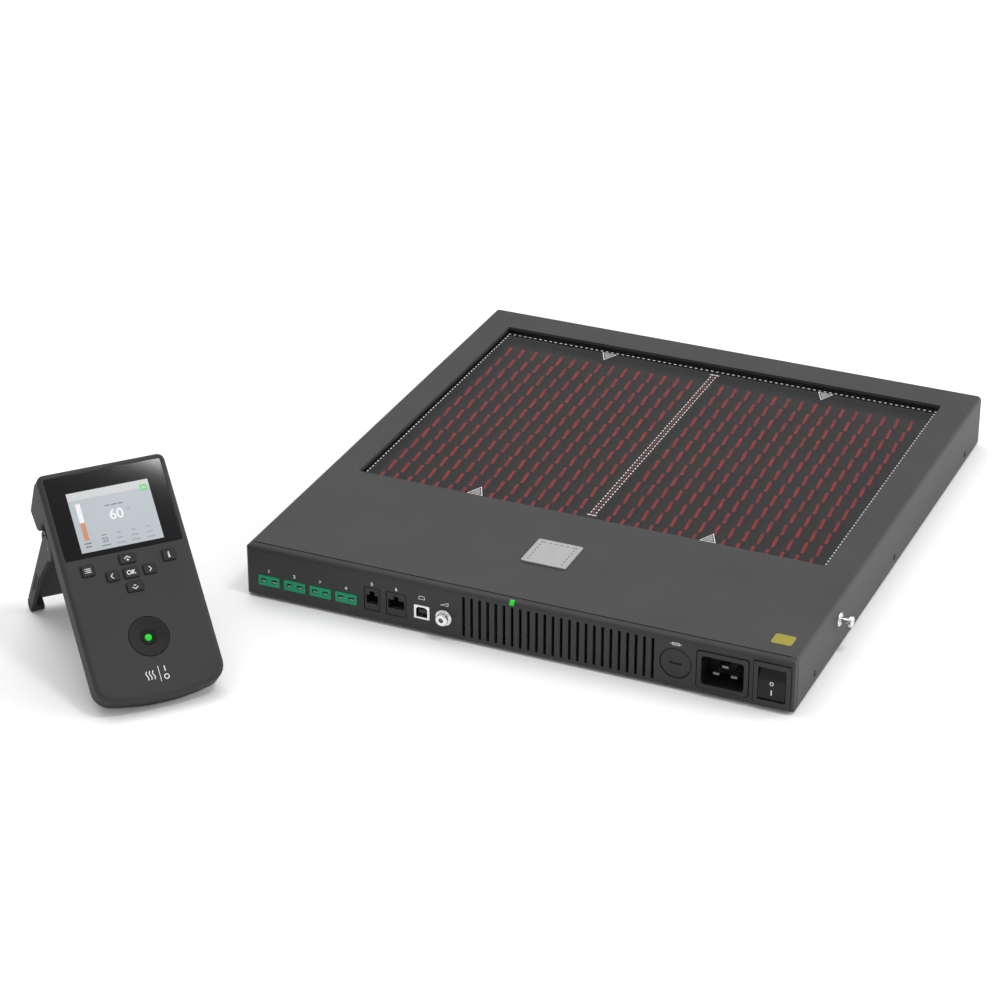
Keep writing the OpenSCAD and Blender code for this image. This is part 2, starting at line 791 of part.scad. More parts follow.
module tc_contacts() color(steel) at_base()
  for (i = [1:4], s = [-1, 1])
    translate([tc_x(i) + s * tc_slot_x - tc_blade[0] / 2, tc_blade_in, foot_h + tc_z - tc_slot[1] / 2])
      cube([tc_blade[0], tc_slot[2] - tc_blade_in, tc_blade[1]]);

// Modular jack: a plug room with a latch slot above it.
module modular_jack(x, w) color(black) at_base() difference() {
  port(x, jack_z, w, jack_h, -0.3, jack_back, 0.4);
  translate([x, 0, jack_floor]) {
    translate([-w / 2 + jack_wall, -over, 0]) cube([w - 2 * jack_wall, jack_depth + over, jack_room]);
    translate([-jack_latch_w / 2, -over, 0]) cube([jack_latch_w, jack_depth + over, jack_latch_h]);
  }
}

module narrow_jack() modular_jack(jack_a_x, jack_a_w);
module wide_jack() modular_jack(jack_b_x, jack_b_w);

module jack_contacts() color(gold) at_base()
  for (jack = [[jack_a_x, 6], [jack_b_x, 8]], i = [0:jack[1] - 1])
    translate([jack[0] + (i - (jack[1] - 1) / 2) * jack_wire_pitch - jack_wire / 2, 2, jack_floor])
      cube([jack_wire, jack_depth - 2, jack_wire]);

// Room of the square socket, with its two upper corners cut.
module usb_room_outline() {
  w = usb_room[0] / 2;
  h = usb_room[1] / 2;
  cut = 1.6;
  translate([usb_x, foot_h + usb_z])
    polygon([[-w, -h], [w, -h], [w, h - cut], [w - cut, h], [-w + cut, h], [-w, h - cut]]);
}

module usb_socket() color(steel) at_base() difference() {
  union() {
    port(usb_x, usb_z, usb_w, usb_h, -0.4, usb_back);
    port(usb_x, usb_z, usb_w + 2 * flange_lap, usb_h + 2 * flange_lap, panel_t, panel_t + flange_t);
  }
  along_y(-over, usb_depth) usb_room_outline();
}

module usb_tongue() color(black) at_base()
  port(usb_x, usb_z, usb_tongue_size[0], usb_tongue_size[1], 1.2, usb_depth, 0.3);

// Barrel and nut of the pedal jack, turned about z with the panel's face at z = 0.
module pedal_barrel() {
  rotate_extrude() polygon([
    [0, -panel_t - 10], [pedal_shank_d / 2, -panel_t - 10], [pedal_shank_d / 2, 0], [pedal_nut_d / 2, 0],
    [pedal_nut_d / 2, pedal_nut_t - 0.6], [pedal_nut_d / 2 - 0.6, pedal_nut_t], [pedal_d / 2, pedal_nut_t],
    [pedal_d / 2, pedal_out - 0.8], [pedal_d / 2 - 0.8, pedal_out], [0, pedal_out]
  ]);
}

module pedal_jack() color(steel) at_base()
  translate([pedal_x, 0, foot_h + pedal_z]) rotate([90, 0, 0]) difference() {
    pedal_barrel();
    translate([0, 0, pedal_out - pedal_depth]) cylinder(d = pedal_bore, h = pedal_depth + over);
  }

// Mains fittings

module fuse_holder() color(black) at_base() difference() {
  union() {
    rod_y(fuse_x, fuse_z, holder_flange_d, panel_t, panel_t + 2);
    rod_y(fuse_x, fuse_z, holder_d, panel_t, holder_back);
  }
  rod_y(fuse_x, fuse_z, fuse_stem_d + 3 * run, panel_t - over, holder_back - 2);
}

module fuse_cap() color(black) at_base() difference() {
  union() {
    rod_y(fuse_x, fuse_z, fuse_cap_d, 0.6, panel_t - fit);
    rod_y(fuse_x, fuse_z, fuse_cap_d - 1.2, 0, panel_t - fit);
    rod_y(fuse_x, fuse_z, fuse_stem_d, panel_t - fit - 0.2, panel_t + stem_l);
  }
  translate([fuse_x, 0, fuse_z]) cube([9, 2.4, 1.4], center = true);
  rod_y(fuse_x, fuse_z, fuse_d + 2 * run, fuse_start, panel_t + stem_l + over);
}

module fuse_link() color(steel) at_base() {
  rod_y(fuse_x, fuse_z, fuse_d, fuse_start, fuse_start + 6);
  rod_y(fuse_x, fuse_z, fuse_d - 0.6, fuse_start, fuse_start + fuse_l);
  rod_y(fuse_x, fuse_z, fuse_d, fuse_start + fuse_l - 6, fuse_start + fuse_l);
}

module inlet_blades(gap) {
  for (at = inlet_pin_at)
    along_y(inlet_pin_tip, inlet_back + inlet_pin_tail)
      translate([inlet_x + at[0], foot_h + mains_z + at[1]])
        square([inlet_pin[0] + 2 * gap, inlet_pin[1] + 2 * gap], center = true);
}

module mains_inlet() color(black) at_base() difference() {
  union() {
    port(inlet_x, mains_z, inlet_w, inlet_h, -inlet_proud, 0, 2.5);
    port(inlet_x, mains_z, inlet_body_w, inlet_body_h, -inlet_proud / 2, inlet_back, 2);
  }
  port(inlet_x, mains_z, inlet_cavity_w, inlet_cavity_h, -inlet_proud - over, inlet_depth, 2.5);
  inlet_blades(run);
}

module inlet_pins() color(steel) at_base() inlet_blades(0);

module switch_frame() color(black) at_base() difference() {
  union() {
    port(switch_x, mains_z, switch_w, switch_h, -switch_proud, 0, 1);
    port(switch_x, mains_z, switch_body_w, switch_body_h, -switch_proud / 2, switch_back);
  }
  port(switch_x, mains_z, switch_open_w, switch_open_h, -switch_proud - over, switch_back - 2, 0.3);
  at_rocker() rotate([0, 90, 0])
    cylinder(d = trunnion_d + 2 * run, h = rocker_w + 2 * (trunnion_l + run), center = true);
}

module at_rocker() {
  translate([switch_x, rocker_y, foot_h + mains_z]) children();
}

// Rocker with its upper half pressed in: two faces that meet in a ridge.
module switch_rocker() color(black) at_base() at_rocker() rotate([-rocker_tip / 2, 0, 0]) {
  slope = tan(rocker_tip / 2);
  low_y = slope * (rocker_r + rocker_ridge_z) - rocker_ridge;
  high_y = slope * (rocker_r - rocker_ridge_z) - rocker_ridge;
  across(rocker_w) intersection() {
    circle(rocker_r);
    polygon([
      [2, -rocker_r], [low_y, -rocker_r], [-rocker_ridge, rocker_ridge_z], [high_y, rocker_r], [2, rocker_r]
    ]);
  }
  rotate([0, 90, 0]) cylinder(d = trunnion_d, h = rocker_w + 2 * trunnion_l, center = true);
}

// Outside fittings

module top_plate() color(steel) at_base()
  translate([0, plate_y, top_z]) linear_extrude(plate_t) round_rect(plate_w, plate_w, 1.5);

// Headed stud, drawn along z with the side of the housing at z = 0.
module stud() {
  root = -2 * sheet - 2 * fit - 2;
  collar_r = stud_collar_d / 2;
  neck_r = stud_neck_d / 2;
  head_r = stud_head_d / 2;
  head_z = stud_l - stud_head_t;
  rotate_extrude() polygon([
    [0, root], [stud_hole_d / 2, root], [stud_hole_d / 2, 0], [collar_r, 0], [collar_r, stud_collar_t - 0.4],
    [collar_r - 0.4, stud_collar_t], [neck_r, stud_collar_t], [neck_r, head_z], [head_r, head_z],
    [head_r, stud_l - 0.5], [head_r - 0.5, stud_l], [0, stud_l]
  ]);
}

module side_stud_right() color(steel) at_base()
  translate([base_w / 2, stud_y, foot_h + stud_z]) rotate([0, 90, 0]) stud();

module side_stud_left() color(steel) at_base()
  translate([-base_w / 2, stud_y, foot_h + stud_z]) rotate([0, -90, 0]) stud();

module cover_screws() color(black) at_base()
  for (s = [-1, 1], y = screw_at)
    translate([s * base_w / 2, y, screw_z]) rotate([0, s * 90, 0]) difference() {
      union() {
        cylinder(d1 = screw_head_d, d2 = screw_head_d - 0.8, h = screw_head_t);
        translate([0, 0, -2 * sheet - fit - 2])
          cylinder(d = screw_d, h = 2 * sheet + fit + 2 + screw_head_t / 2);
      }
      translate([0, 0, screw_head_t]) cube([0.7, 3, 0.8], center = true);
    }

// Console

// Outline of the face, drawn in by d on every side.
function face_outline(d) =
  let (hw = con_w / 2 - d, rb = bow_r - d, rc = lower_r - d, rt = upper_r - d, top = con_l - d,
       xc = hw - rc, yc = bow_r - sqrt(pow(rb - rc, 2) - xc * xc), a = asin(xc / (rb - rc)))
  concat(
    [for (i = [0:8]) let (t = a * (i / 4 - 1)) [rb * sin(t), bow_r - rb * cos(t)]],
    [for (i = [1:8]) let (t = a - 90 + (90 - a) * i / 8) [xc + rc * cos(t), yc + rc * sin(t)]],
    [for (i = [0:4]) let (t = 22.5 * i) [hw - rt + rt * cos(t), top - rt + rt * sin(t)]],
    [for (i = [0:4]) let (t = 90 + 22.5 * i) [rt - hw + rt * cos(t), top - rt + rt * sin(t)]],
    [for (i = [0:7]) let (t = 180 + (90 - a) * i / 8) [rc * cos(t) - xc, yc + rc * sin(t)]]
  );

// Thin slice of the body at height z, drawn in by d.
module face_slice(z, d) {
  translate([0, 0, z]) linear_extrude(0.01) polygon(face_outline(d));
}

// Body between two heights with a quarter-round edge of radius r at the end "tip".
module rounded_body(root, tip, r) {
  turn = sign(tip - root);
  hull() {
    face_slice(root - (turn > 0 ? 0 : 0.01), 0);
    for (i = [0:5])
      face_slice(tip - turn * r * (1 - cos(18 * i)) - (turn > 0 ? 0.01 : 0), r * (1 - sin(18 * i)));
  }
}

module key_hole(at, size) {
  translate([at[0], at[1], -wall - over]) linear_extrude(wall + 2 * over)
    round_rect(size[0] + 2 * key_gap, size[1] + 2 * key_gap, key_r + key_gap);
}

// Each key's middle and size.
menu_key = [[-side_key[0], side_key[1]], [9, 8]];
info_key = [[side_key[0], side_key[1]], [9, 8]];
up_key = [[0, key_row + key_step[1]], [11.5, 6.8]];
down_key = [[0, key_row - key_step[1]], [11.5, 6.8]];
left_key = [[-key_step[0], key_row], [8.6, 7]];
right_key = [[key_step[0], key_row], [8.6, 7]];
ok_key = [[0, key_row], [10.5, 7.4]];

module console_front_shell() color(charcoal) at_console() {
  difference() {
    rounded_body(part_z, 0, face_r);
    difference() {
      translate([0, 0, part_z - over]) linear_extrude(shell_d - wall + over) polygon(face_outline(wall));
      translate([0, button_y, dish_floor]) cylinder(d = dish_boss_d, h = shell_d);
      notch_blocks(wall + fit, part_z, part_z + notch_ledge);
    }
    translate([0, pane_y, -pane_seat]) linear_extrude(pane_seat + over)
      round_rect(pane_w + 2 * pane_fit, pane_h + 2 * pane_fit, 1.5);
    translate([0, screen_y, -wall - over]) linear_extrude(wall + 2 * over)
      square([screen_w + 1, screen_h + 1], center = true);
    for (key = [menu_key, info_key, up_key, down_key, left_key, right_key, ok_key]) key_hole(key[0], key[1]);
    translate([0, button_y, dish_r - dish_depth]) sphere(dish_r, $fn = 96);
    translate([0, button_y, dish_floor - over]) cylinder(d = button_d + 2 * key_gap, h = -dish_floor + over);
  }
  for (at = con_screw_at)
    translate([at[0], at[1], back_z + wall]) difference() {
      cylinder(d = boss_d, h = con_t - 2 * wall + post_sunk);
      translate([0, 0, -over]) cylinder(d = boss_bore, h = 10 + over);
    }
  for (at = con_post_at)
    translate([at[0], at[1], con_pcb_z]) cylinder(d = con_post_d, h = -con_pcb_z - wall + post_sunk);
}

// Blocks beside the stand's heads, grown by g at their ends and towards the middle.
module notch_blocks(g, z0, z1) {
  for (s = [0, 1])
    mirror([s, 0, 0]) translate([lug_out - g, notch[0] - g, z0])
      cube([con_w / 2 - lug_out - wall / 2 + g, notch[1] - notch[0] + 2 * g, z1 - z0]);
}

// Side view of the hump, from the parting line back, drawn in by d.
function hump_outline(d) = [
  [hump_low + d, part_z], [hump_low + d, 7 - hump_t + d], [hump_low + 1.5 + d, 3.5 - hump_t + d],
  [con_l - 9 - d, -hump_t + d], [con_l - 1 - d, part_z]
];

module hump_body() {
  hull() {
    across(hump_w) polygon(hump_outline(1.2));
    across(hump_w - 2.4) polygon(hump_outline(0));
  }
}

module console_rear_shell() color(charcoal) at_console() difference() {
  union() {
    difference() {
      union() {
        rounded_body(part_z - 0.05, back_z, rear_r);
        hump_body();
      }
      translate([0, 0, back_z + wall]) linear_extrude(con_t) polygon(face_outline(wall));
      across(hump_w - 2 * wall - 2.4)
        polygon(concat(hump_outline(wall), [[con_l - 3, 0], [hump_low + wall, 0]]));
    }
    notch_blocks(wall, back_z + wall / 2, part_z);
    for (s = [-1, 1])
      translate([s * (lug_out - lug_w / 2), hinge[0], 0]) {
        translate([0, 0, hinge[1]]) rotate([0, 90, 0]) cylinder(d = lug_d, h = lug_w, center = true);
        translate([-lug_w / 2, -lug_d / 2, hinge[1]]) cube([lug_w, lug_d, back_z + wall / 2 - hinge[1]]);
      }
  }
  for (s = [0, 1])
    mirror([s, 0, 0]) translate([lug_out, notch[0], back_z - over])
      cube([con_w, notch[1] - notch[0], rear_d + over]);
  translate([0, hinge[0], hinge[1]]) rotate([0, 90, 0])
    cylinder(d = pin_d + 2 * run, h = 2 * con_w, center = true);
  for (at = con_screw_at)
    translate([at[0], at[1], back_z]) {
      translate([0, 0, -over]) cylinder(d = con_screw_head[0] + 2 * run, h = con_screw_head[1] + over);
      translate([0, 0, -over]) cylinder(d = con_screw_d + 2 * run, h = wall + 2 * over);
    }
}

module display_window() color(black) at_console()
  translate([0, pane_y, -pane_seat]) linear_extrude(pane_t) round_rect(pane_w, pane_h, 1.3);

module display_panel() color([0.72, 0.77, 0.8]) at_console()
  translate([0, screen_y, -wall - panel_thick]) linear_extrude(panel_thick)
    square([screen_w + 2 * panel_lap, screen_h + 2 * panel_lap], center = true);

module console_board() color(board_green) at_console() difference() {
  translate([0, 0, con_pcb_z - pcb_t]) linear_extrude(pcb_t) polygon(face_outline(wall + con_pcb_gap));
  for (at = con_screw_at)
    translate([at[0], at[1], con_pcb_z - pcb_t - over]) cylinder(d = boss_d + 1, h = pcb_t + 2 * over);
}

// Key cap with a retaining flange behind the face and a stem to its switch.
module key(spec) color(black) at_console() translate([spec[0][0], spec[0][1], 0]) {
  flange_top = -wall - fit;
  w = spec[1][0];
  h = spec[1][1];
  translate([0, 0, flange_top - key_flange_t]) linear_extrude(key_flange_t)
    round_rect(w + 2 * key_flange, h + 2 * key_flange, key_r);
  translate([0, 0, flange_top - 0.1]) linear_extrude(key_proud - key_edge - flange_top + 0.1)
    round_rect(w, h, key_r);
  translate([0, 0, flange_top]) linear_extrude(key_proud - flange_top)
    round_rect(w - 2 * key_edge, h - 2 * key_edge, key_r - key_edge);
  translate([0, 0, con_pcb_z + key_travel + fit])
    cylinder(d = key_stem_d, h = flange_top - con_pcb_z - key_travel - fit);
}

module key_menu() key(menu_key);
module key_up() key(up_key);
module key_info() key(info_key);
module key_left() key(left_key);
module key_ok() key(ok_key);
module key_right() key(right_key);
module key_down() key(down_key);

module heat_button() color(black) at_console() translate([0, button_y, 0]) difference() {
  union() {
    translate([0, 0, dish_floor - fit]) cylinder(d = button_d, h = button_top - dish_floor + fit);
    translate([0, 0, dish_floor - fit - button_flange_t]) cylinder(d = button_d + 3, h = button_flange_t);
    translate([0, 0, con_pcb_z + key_travel + fit])
      cylinder(d = key_stem_d, h = dish_floor - con_pcb_z - key_travel - 2 * fit);
  }
  translate([0, 0, button_top - 2]) cylinder(d = lens_d + 2 * run, h = 2 + over);
}

module heat_light() color(lamp_green) at_console()
  translate([0, button_y, button_top - 2]) cylinder(d = lens_d, h = 2.2);

// Places its children, drawn folded against the back, at the open stand's place.
module at_stand() {
  at_console() translate([0, hinge[0], hinge[1]]) rotate([stand_open, 0, 0]) children();
}

leg_end = leg_l - stand_foot_cut;

// Side view of the stand, hinge at the origin, feet down.
module stand_side() {
  circle(head_r);
  polygon([
    [0, stand_front], [-leg_l / 2, stand_rim - stand_back], [-leg_end, stand_rim - stand_back],
    [-leg_end, -stand_back], [0, -stand_back]
  ]);
}

// Back plate with a raised edge that stops against the hump.
module stand_back_side() {
  rise = stop_reach / sin(stand_open);
  polygon([
    [3, stand_t - stand_back], [-leg_end, stand_t - stand_back], [-leg_end, -stand_back], [-16, -stand_back],
    [-9, -rise], [-3, -rise + 0.5], [3, -stand_back - 1]
  ]);
}

module kickstand() color(charcoal) at_stand() difference() {
  union() {
    for (s = [-1, 1])
      translate([s * (stand_in + stand_t / 2), 0, 0]) across(stand_t) stand_side();
    across(2 * stand_in + stand_t) stand_back_side();
  }
  rotate([0, 90, 0]) cylinder(d = pin_d + 2 * run, h = 2 * con_w, center = true);
  for (k = [0, 1])
    across(2 * con_w)
      translate([-leg_l * (0.66 - 0.05 * k), -stand_back + stand_t + 1.2 + k * (slit[1] + 1)])
        round_rect(slit[0] - 6 * k, slit[1], slit[1] / 2 - 0.05);
}

module kickstand_pins() color(black) at_stand()
  for (s = [-1, 1])
    translate([s * (lug_out - lug_w), 0, 0]) rotate([0, s * 90, 0])
      cylinder(d = pin_d, h = lug_w + fit + stand_t);

module stand_feet() color(black) at_stand()
  for (s = [-1, 1])
    translate([s * (stand_w / 2 - stand_foot_l / 2), 0, 0]) across(stand_foot_l)
      translate([-leg_l, -foot_back]) intersection() {
        circle(stand_foot_r);
        translate([-2 * stand_foot_r, -stand_foot_r])
          square([2 * stand_foot_r + stand_foot_cut, 2 * stand_foot_r]);
      }

module console_screws() color(steel) at_console()
  for (at = con_screw_at)
    translate([at[0], at[1], back_z]) difference() {
      union() {
        cylinder(d = con_screw_head[0], h = con_screw_head[1]);
        cylinder(d = con_screw_d, h = 9);
      }
      cube([0.6, 3, 1.2], center = true);
    }

base_tray();
top_cover();
connector_panel();
rear_panel();
heater_glass();
glass_gasket();
glass_frame();
insulation_left();
insulation_right();
ribbons_left();
ribbons_right();
heater_terminals();
bulkhead();
control_board();
power_board();
heatsink();
board_standoffs();
tc_socket_1();
tc_socket_2();
tc_socket_3();
tc_socket_4();
tc_contacts();
narrow_jack();
wide_jack();
jack_contacts();
usb_socket();
usb_tongue();
pedal_jack();
status_light();
fuse_holder();
fuse_cap();
fuse_link();
mains_inlet();
inlet_pins();
switch_frame();
switch_rocker();
side_stud_left();
side_stud_right();
rubber_feet();
cover_screws();
top_plate();
console_front_shell();
console_rear_shell();
display_window();
display_panel();
console_board();
key_menu();
key_up();
key_info();
key_left();
key_ok();
key_right();
key_down();
heat_button();
heat_light();
kickstand();
kickstand_pins();
stand_feet();
console_screws();
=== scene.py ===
"""Dresses the circuit-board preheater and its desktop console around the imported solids.

Every piece is in metres, in the frame of the solids. Sizes that the solids already hold are read
from them; the rest are fields of the class that uses them, or tables in millimetres before it.
"""

import json
import logging
import math
from dataclasses import dataclass
from enum import Enum
from typing import Any, NamedTuple, Sequence

import bmesh
import bpy
import numpy as np
from bpy.types import Material, Mesh, Node, NodeSocket, NodeTree, Object
from mathutils import Matrix, Vector


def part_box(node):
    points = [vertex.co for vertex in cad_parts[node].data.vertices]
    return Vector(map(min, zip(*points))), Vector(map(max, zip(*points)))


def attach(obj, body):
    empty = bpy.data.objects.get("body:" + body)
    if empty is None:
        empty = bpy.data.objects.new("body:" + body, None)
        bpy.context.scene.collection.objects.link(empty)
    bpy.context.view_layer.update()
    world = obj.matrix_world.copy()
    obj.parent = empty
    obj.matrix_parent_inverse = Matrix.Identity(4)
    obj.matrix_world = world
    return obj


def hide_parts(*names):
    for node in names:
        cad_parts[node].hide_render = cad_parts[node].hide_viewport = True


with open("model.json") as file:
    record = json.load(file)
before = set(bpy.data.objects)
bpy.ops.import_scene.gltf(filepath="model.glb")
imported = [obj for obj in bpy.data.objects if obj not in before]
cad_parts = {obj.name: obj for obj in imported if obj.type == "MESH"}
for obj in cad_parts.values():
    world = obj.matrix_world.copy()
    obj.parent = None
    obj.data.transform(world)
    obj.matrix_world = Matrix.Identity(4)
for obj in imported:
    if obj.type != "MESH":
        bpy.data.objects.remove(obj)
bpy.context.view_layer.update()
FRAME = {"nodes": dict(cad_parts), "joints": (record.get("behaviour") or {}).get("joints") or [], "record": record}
LOG = logging.getLogger("preheater")
MM = 0.001
Rgb = tuple[float, float, float]
Point = tuple[float, float]
X, Y, Z = Vector((1, 0, 0)), Vector((0, 1, 0)), Vector((0, 0, 1))

# Materials: roughness of a coat, spread of roughness over the grain, the smoothest surface, bump,
# places of the two tones among the clouds, how far edges turn and how light they get.
COAT_ROUGHNESS = 0.04
ROUGHNESS_SPREAD = 0.06
SMOOTHEST = 0.02
BUMP_STRENGTH = 0.6
CLOUD_RANGE = (0.3, 0.7)
EDGE_SAMPLES = 4
EDGE_RANGE = (0.8, 0.99)
# Edges are lightened partly as wear and partly as a painted highlight.
EDGE_SHARE, EDGE_WHITE = 0.5, 0.3

# Shapes: vertices that are one, faces that are flat, edges that get a bevel, weight of large faces.
WELD = 2e-6
FLAT_ANGLE = math.radians(0.6)
BEVEL_ANGLE = math.radians(38)
FLAT_WEIGHT = 80

# Prints: share of a capital in the size of a font, least cosine of a mitre, steps of curves, and the
# width of the lines on the keys in millimetres.
CAPITAL = 0.72
MITRE_LIMIT = 0.35
CORNER_STEPS = 6
RING_SIDES = 24
LINE = 0.5


class Body(str, Enum):
    """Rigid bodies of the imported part."""

    ROOT = "housing_and_console"
    ROCKER = "switch_rocker"
    FUSE_CAP = "fuse_cap"
    STAND = "kickstand"
    HEAT_BUTTON = "heat_button"


class Slot(str, Enum):
    """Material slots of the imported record."""

    PAINTED_SHEET = "painted_sheet"
    PLATED_SHEET = "plated_sheet"
    PANEL = "panel_plastic"
    GLASS = "heater_glass"
    GASKET = "gasket"
    INSULATION = "insulation"
    RIBBON = "hot_ribbon"
    CERAMIC = "ceramic"
    BOARD = "circuit_board"
    ALUMINIUM = "aluminium"
    BRIGHT = "bright_metal"
    GOLD = "gold_contact"
    BLACK = "black_plastic"
    GREEN = "green_plastic"
    LAMP = "green_lamp"
    RUBBER = "foot_rubber"
    SCREW = "dark_screw"
    CONSOLE = "console_plastic"
    PANE = "display_pane"
    SCREEN = "lit_screen"
    KEY = "key_plastic"


def add_node(tree: NodeTree, kind: str, settings: dict[str, Any] | None = None, **inputs: Any) -> Node:
    """Adds a node to a tree.

    Args:
        tree: The tree.
        kind: The node's type.
        settings: Its options, by property name.
        inputs: Sockets to link or values to set, by input name with _ for a space.

    Returns:
        The node.
    """
    made = tree.nodes.new(kind)
    for name, option in (settings or {}).items():
        setattr(made, name, option)
    for name, value in inputs.items():
        socket = made.inputs[name.replace("_", " ")]
        if isinstance(value, NodeSocket):
            tree.links.new(value, socket)
        else:
            socket.default_value = value
    return made


@dataclass(frozen=True)
class Finish:
    """A surface with fine grain, soft colour clouds and edges lightened partly as wear and partly as a painted
    highlight.

    Lengths are in metres. The grain sets bump and roughness, the clouds vary the colour.
    """

    name: str
    color: Rgb
    roughness: float = 0.5
    metallic: float = 0.0
    grain: float = 0.0006
    relief: float = 0.00001
    cloud: float = 0.05
    mottle: float = 0.08
    stretch: tuple[float, float, float] = (1.0, 1.0, 1.0)
    edge_lift: float = 0.0
    edge_radius: float = 0.0005
    coat: float = 0.0
    specular: float = 0.5
    alpha: float = 1.0
    glow: float = 0.0

    def build(self) -> Material:
        """Makes the material.

        Returns:
            The node material, ready to assign.
        """
        material = bpy.data.materials.new(self.name)
        material.use_nodes = True
        tree = material.node_tree
        shader = tree.nodes["Principled BSDF"]
        shader.inputs["Metallic"].default_value = self.metallic
        shader.inputs["Specular IOR Level"].default_value = self.specular
        shader.inputs["Coat Weight"].default_value = self.coat
        shader.inputs["Coat Roughness"].default_value = COAT_ROUGHNESS
        shader.inputs["Alpha"].default_value = self.alpha
        grain, cloud = self._noises(tree)
        tone = self._tone(tree, cloud)
        normal = self._relief(tree, shader, grain)
        if self.edge_lift > 0:
            tone = self._worn_edges(tree, tone, normal)
        tree.links.new(tone, shader.inputs["Base Color"])
        if self.glow > 0:
            tree.links.new(tone, shader.inputs["Emission Color"])
            shader.inputs["Emission Strength"].default_value = self.glow
        return material

    def _noises(self, tree: NodeTree) -> tuple[NodeSocket, NodeSocket]:
        """Adds the fine grain and the broad clouds.

        Args:
            tree: The material's node tree.

        Returns:
            The factor sockets of grain and clouds.
        """
        coords = add_node(tree, "ShaderNodeTexCoord").outputs["Object"]
        mapped = add_node(tree, "ShaderNodeMapping", Vector=coords, Scale=self.stretch).outputs["Vector"]
        sockets = []
        for size, detail in ((self.grain, 2.0), (self.cloud, 3.0)):
            noise = add_node(tree, "ShaderNodeTexNoise", Vector=mapped, Scale=1.0 / size, Detail=detail)
            sockets.append(noise.outputs["Fac"])
        return sockets[0], sockets[1]

    def _tone(self, tree: NodeTree, cloud: NodeSocket) -> NodeSocket:
        """Adds the colour ramp that the clouds drive.

        Args:
            tree: The material's node tree.
            cloud: The cloud factor.

        Returns:
            The colour socket.
        """
        ramp = add_node(tree, "ShaderNodeValToRGB", Fac=cloud)
        for element, place, share in zip(ramp.color_ramp.elements, CLOUD_RANGE, (-self.mottle, self.mottle)):
            element.position = place
            element.color = (*(min(1.0, c * (1.0 + share)) for c in self.color), 1.0)
        return ramp.outputs["Color"]

    def _relief(
        self, tree: NodeTree, shader: Node, grain: NodeSocket
    ) -> NodeSocket | None:
        """Adds grain to the normal and to the roughness.

        Args:
            tree: The material's node tree.
            shader: The Principled shader.
            grain: The grain factor.

        Returns:
            The rounded-edge normal where edges are lightened, else None.
        """
        low = max(SMOOTHEST, self.roughness - ROUGHNESS_SPREAD)
        high = min(1.0, self.roughness + ROUGHNESS_SPREAD)
        spread = add_node(tree, "ShaderNodeMapRange", Value=grain, To_Min=low, To_Max=high)
        tree.links.new(spread.outputs["Result"], shader.inputs["Roughness"])
        bump = add_node(tree, "ShaderNodeBump", Strength=BUMP_STRENGTH, Distance=self.relief, Height=grain)
        tree.links.new(bump.outputs["Normal"], shader.inputs["Normal"])
        if self.edge_lift <= 0:
            return None
        rounded = add_node(tree, "ShaderNodeBevel", {"samples": EDGE_SAMPLES}, Radius=self.edge_radius)
        tree.links.new(rounded.outputs["Normal"], bump.inputs["Normal"])
        return rounded.outputs["Normal"]

    def _worn_edges(
        self, tree: NodeTree, tone: NodeSocket, rounded: NodeSocket
    ) -> NodeSocket:
        """Lightens the colour where the rounded normal leaves the true one, as edge wear together with a painted
        highlight.

        Args:
            tree: The material's node tree.
            tone: The colour away from the edges.
            rounded: The rounded-edge normal.

        Returns:
            The colour socket with light edges.
        """
        geometry = add_node(tree, "ShaderNodeNewGeometry")
        dot = add_node(tree, "ShaderNodeVectorMath", {"operation": "DOT_PRODUCT"})
        for source, socket in zip((geometry.outputs["Normal"], rounded), dot.inputs):
            tree.links.new(source, socket)
        mask = add_node(
            tree,
            "ShaderNodeMapRange",
            Value=dot.outputs["Value"],
            From_Min=EDGE_RANGE[0],
            From_Max=EDGE_RANGE[1],
            To_Min=self.edge_lift,
            To_Max=0.0,
        )
        mix = add_node(tree, "ShaderNodeMix", {"data_type": "RGBA"})
        factor, first, second = (mix.inputs[i] for i in (0, 6, 7))
        tree.links.new(mask.outputs["Result"], factor)
        tree.links.new(tone, first)
        # Lighter edge colour: partly wear, partly a painted highlight.
        second.default_value = (*(min(1.0, EDGE_SHARE * c + EDGE_WHITE) for c in self.color), 1.0)
        return mix.outputs[2]


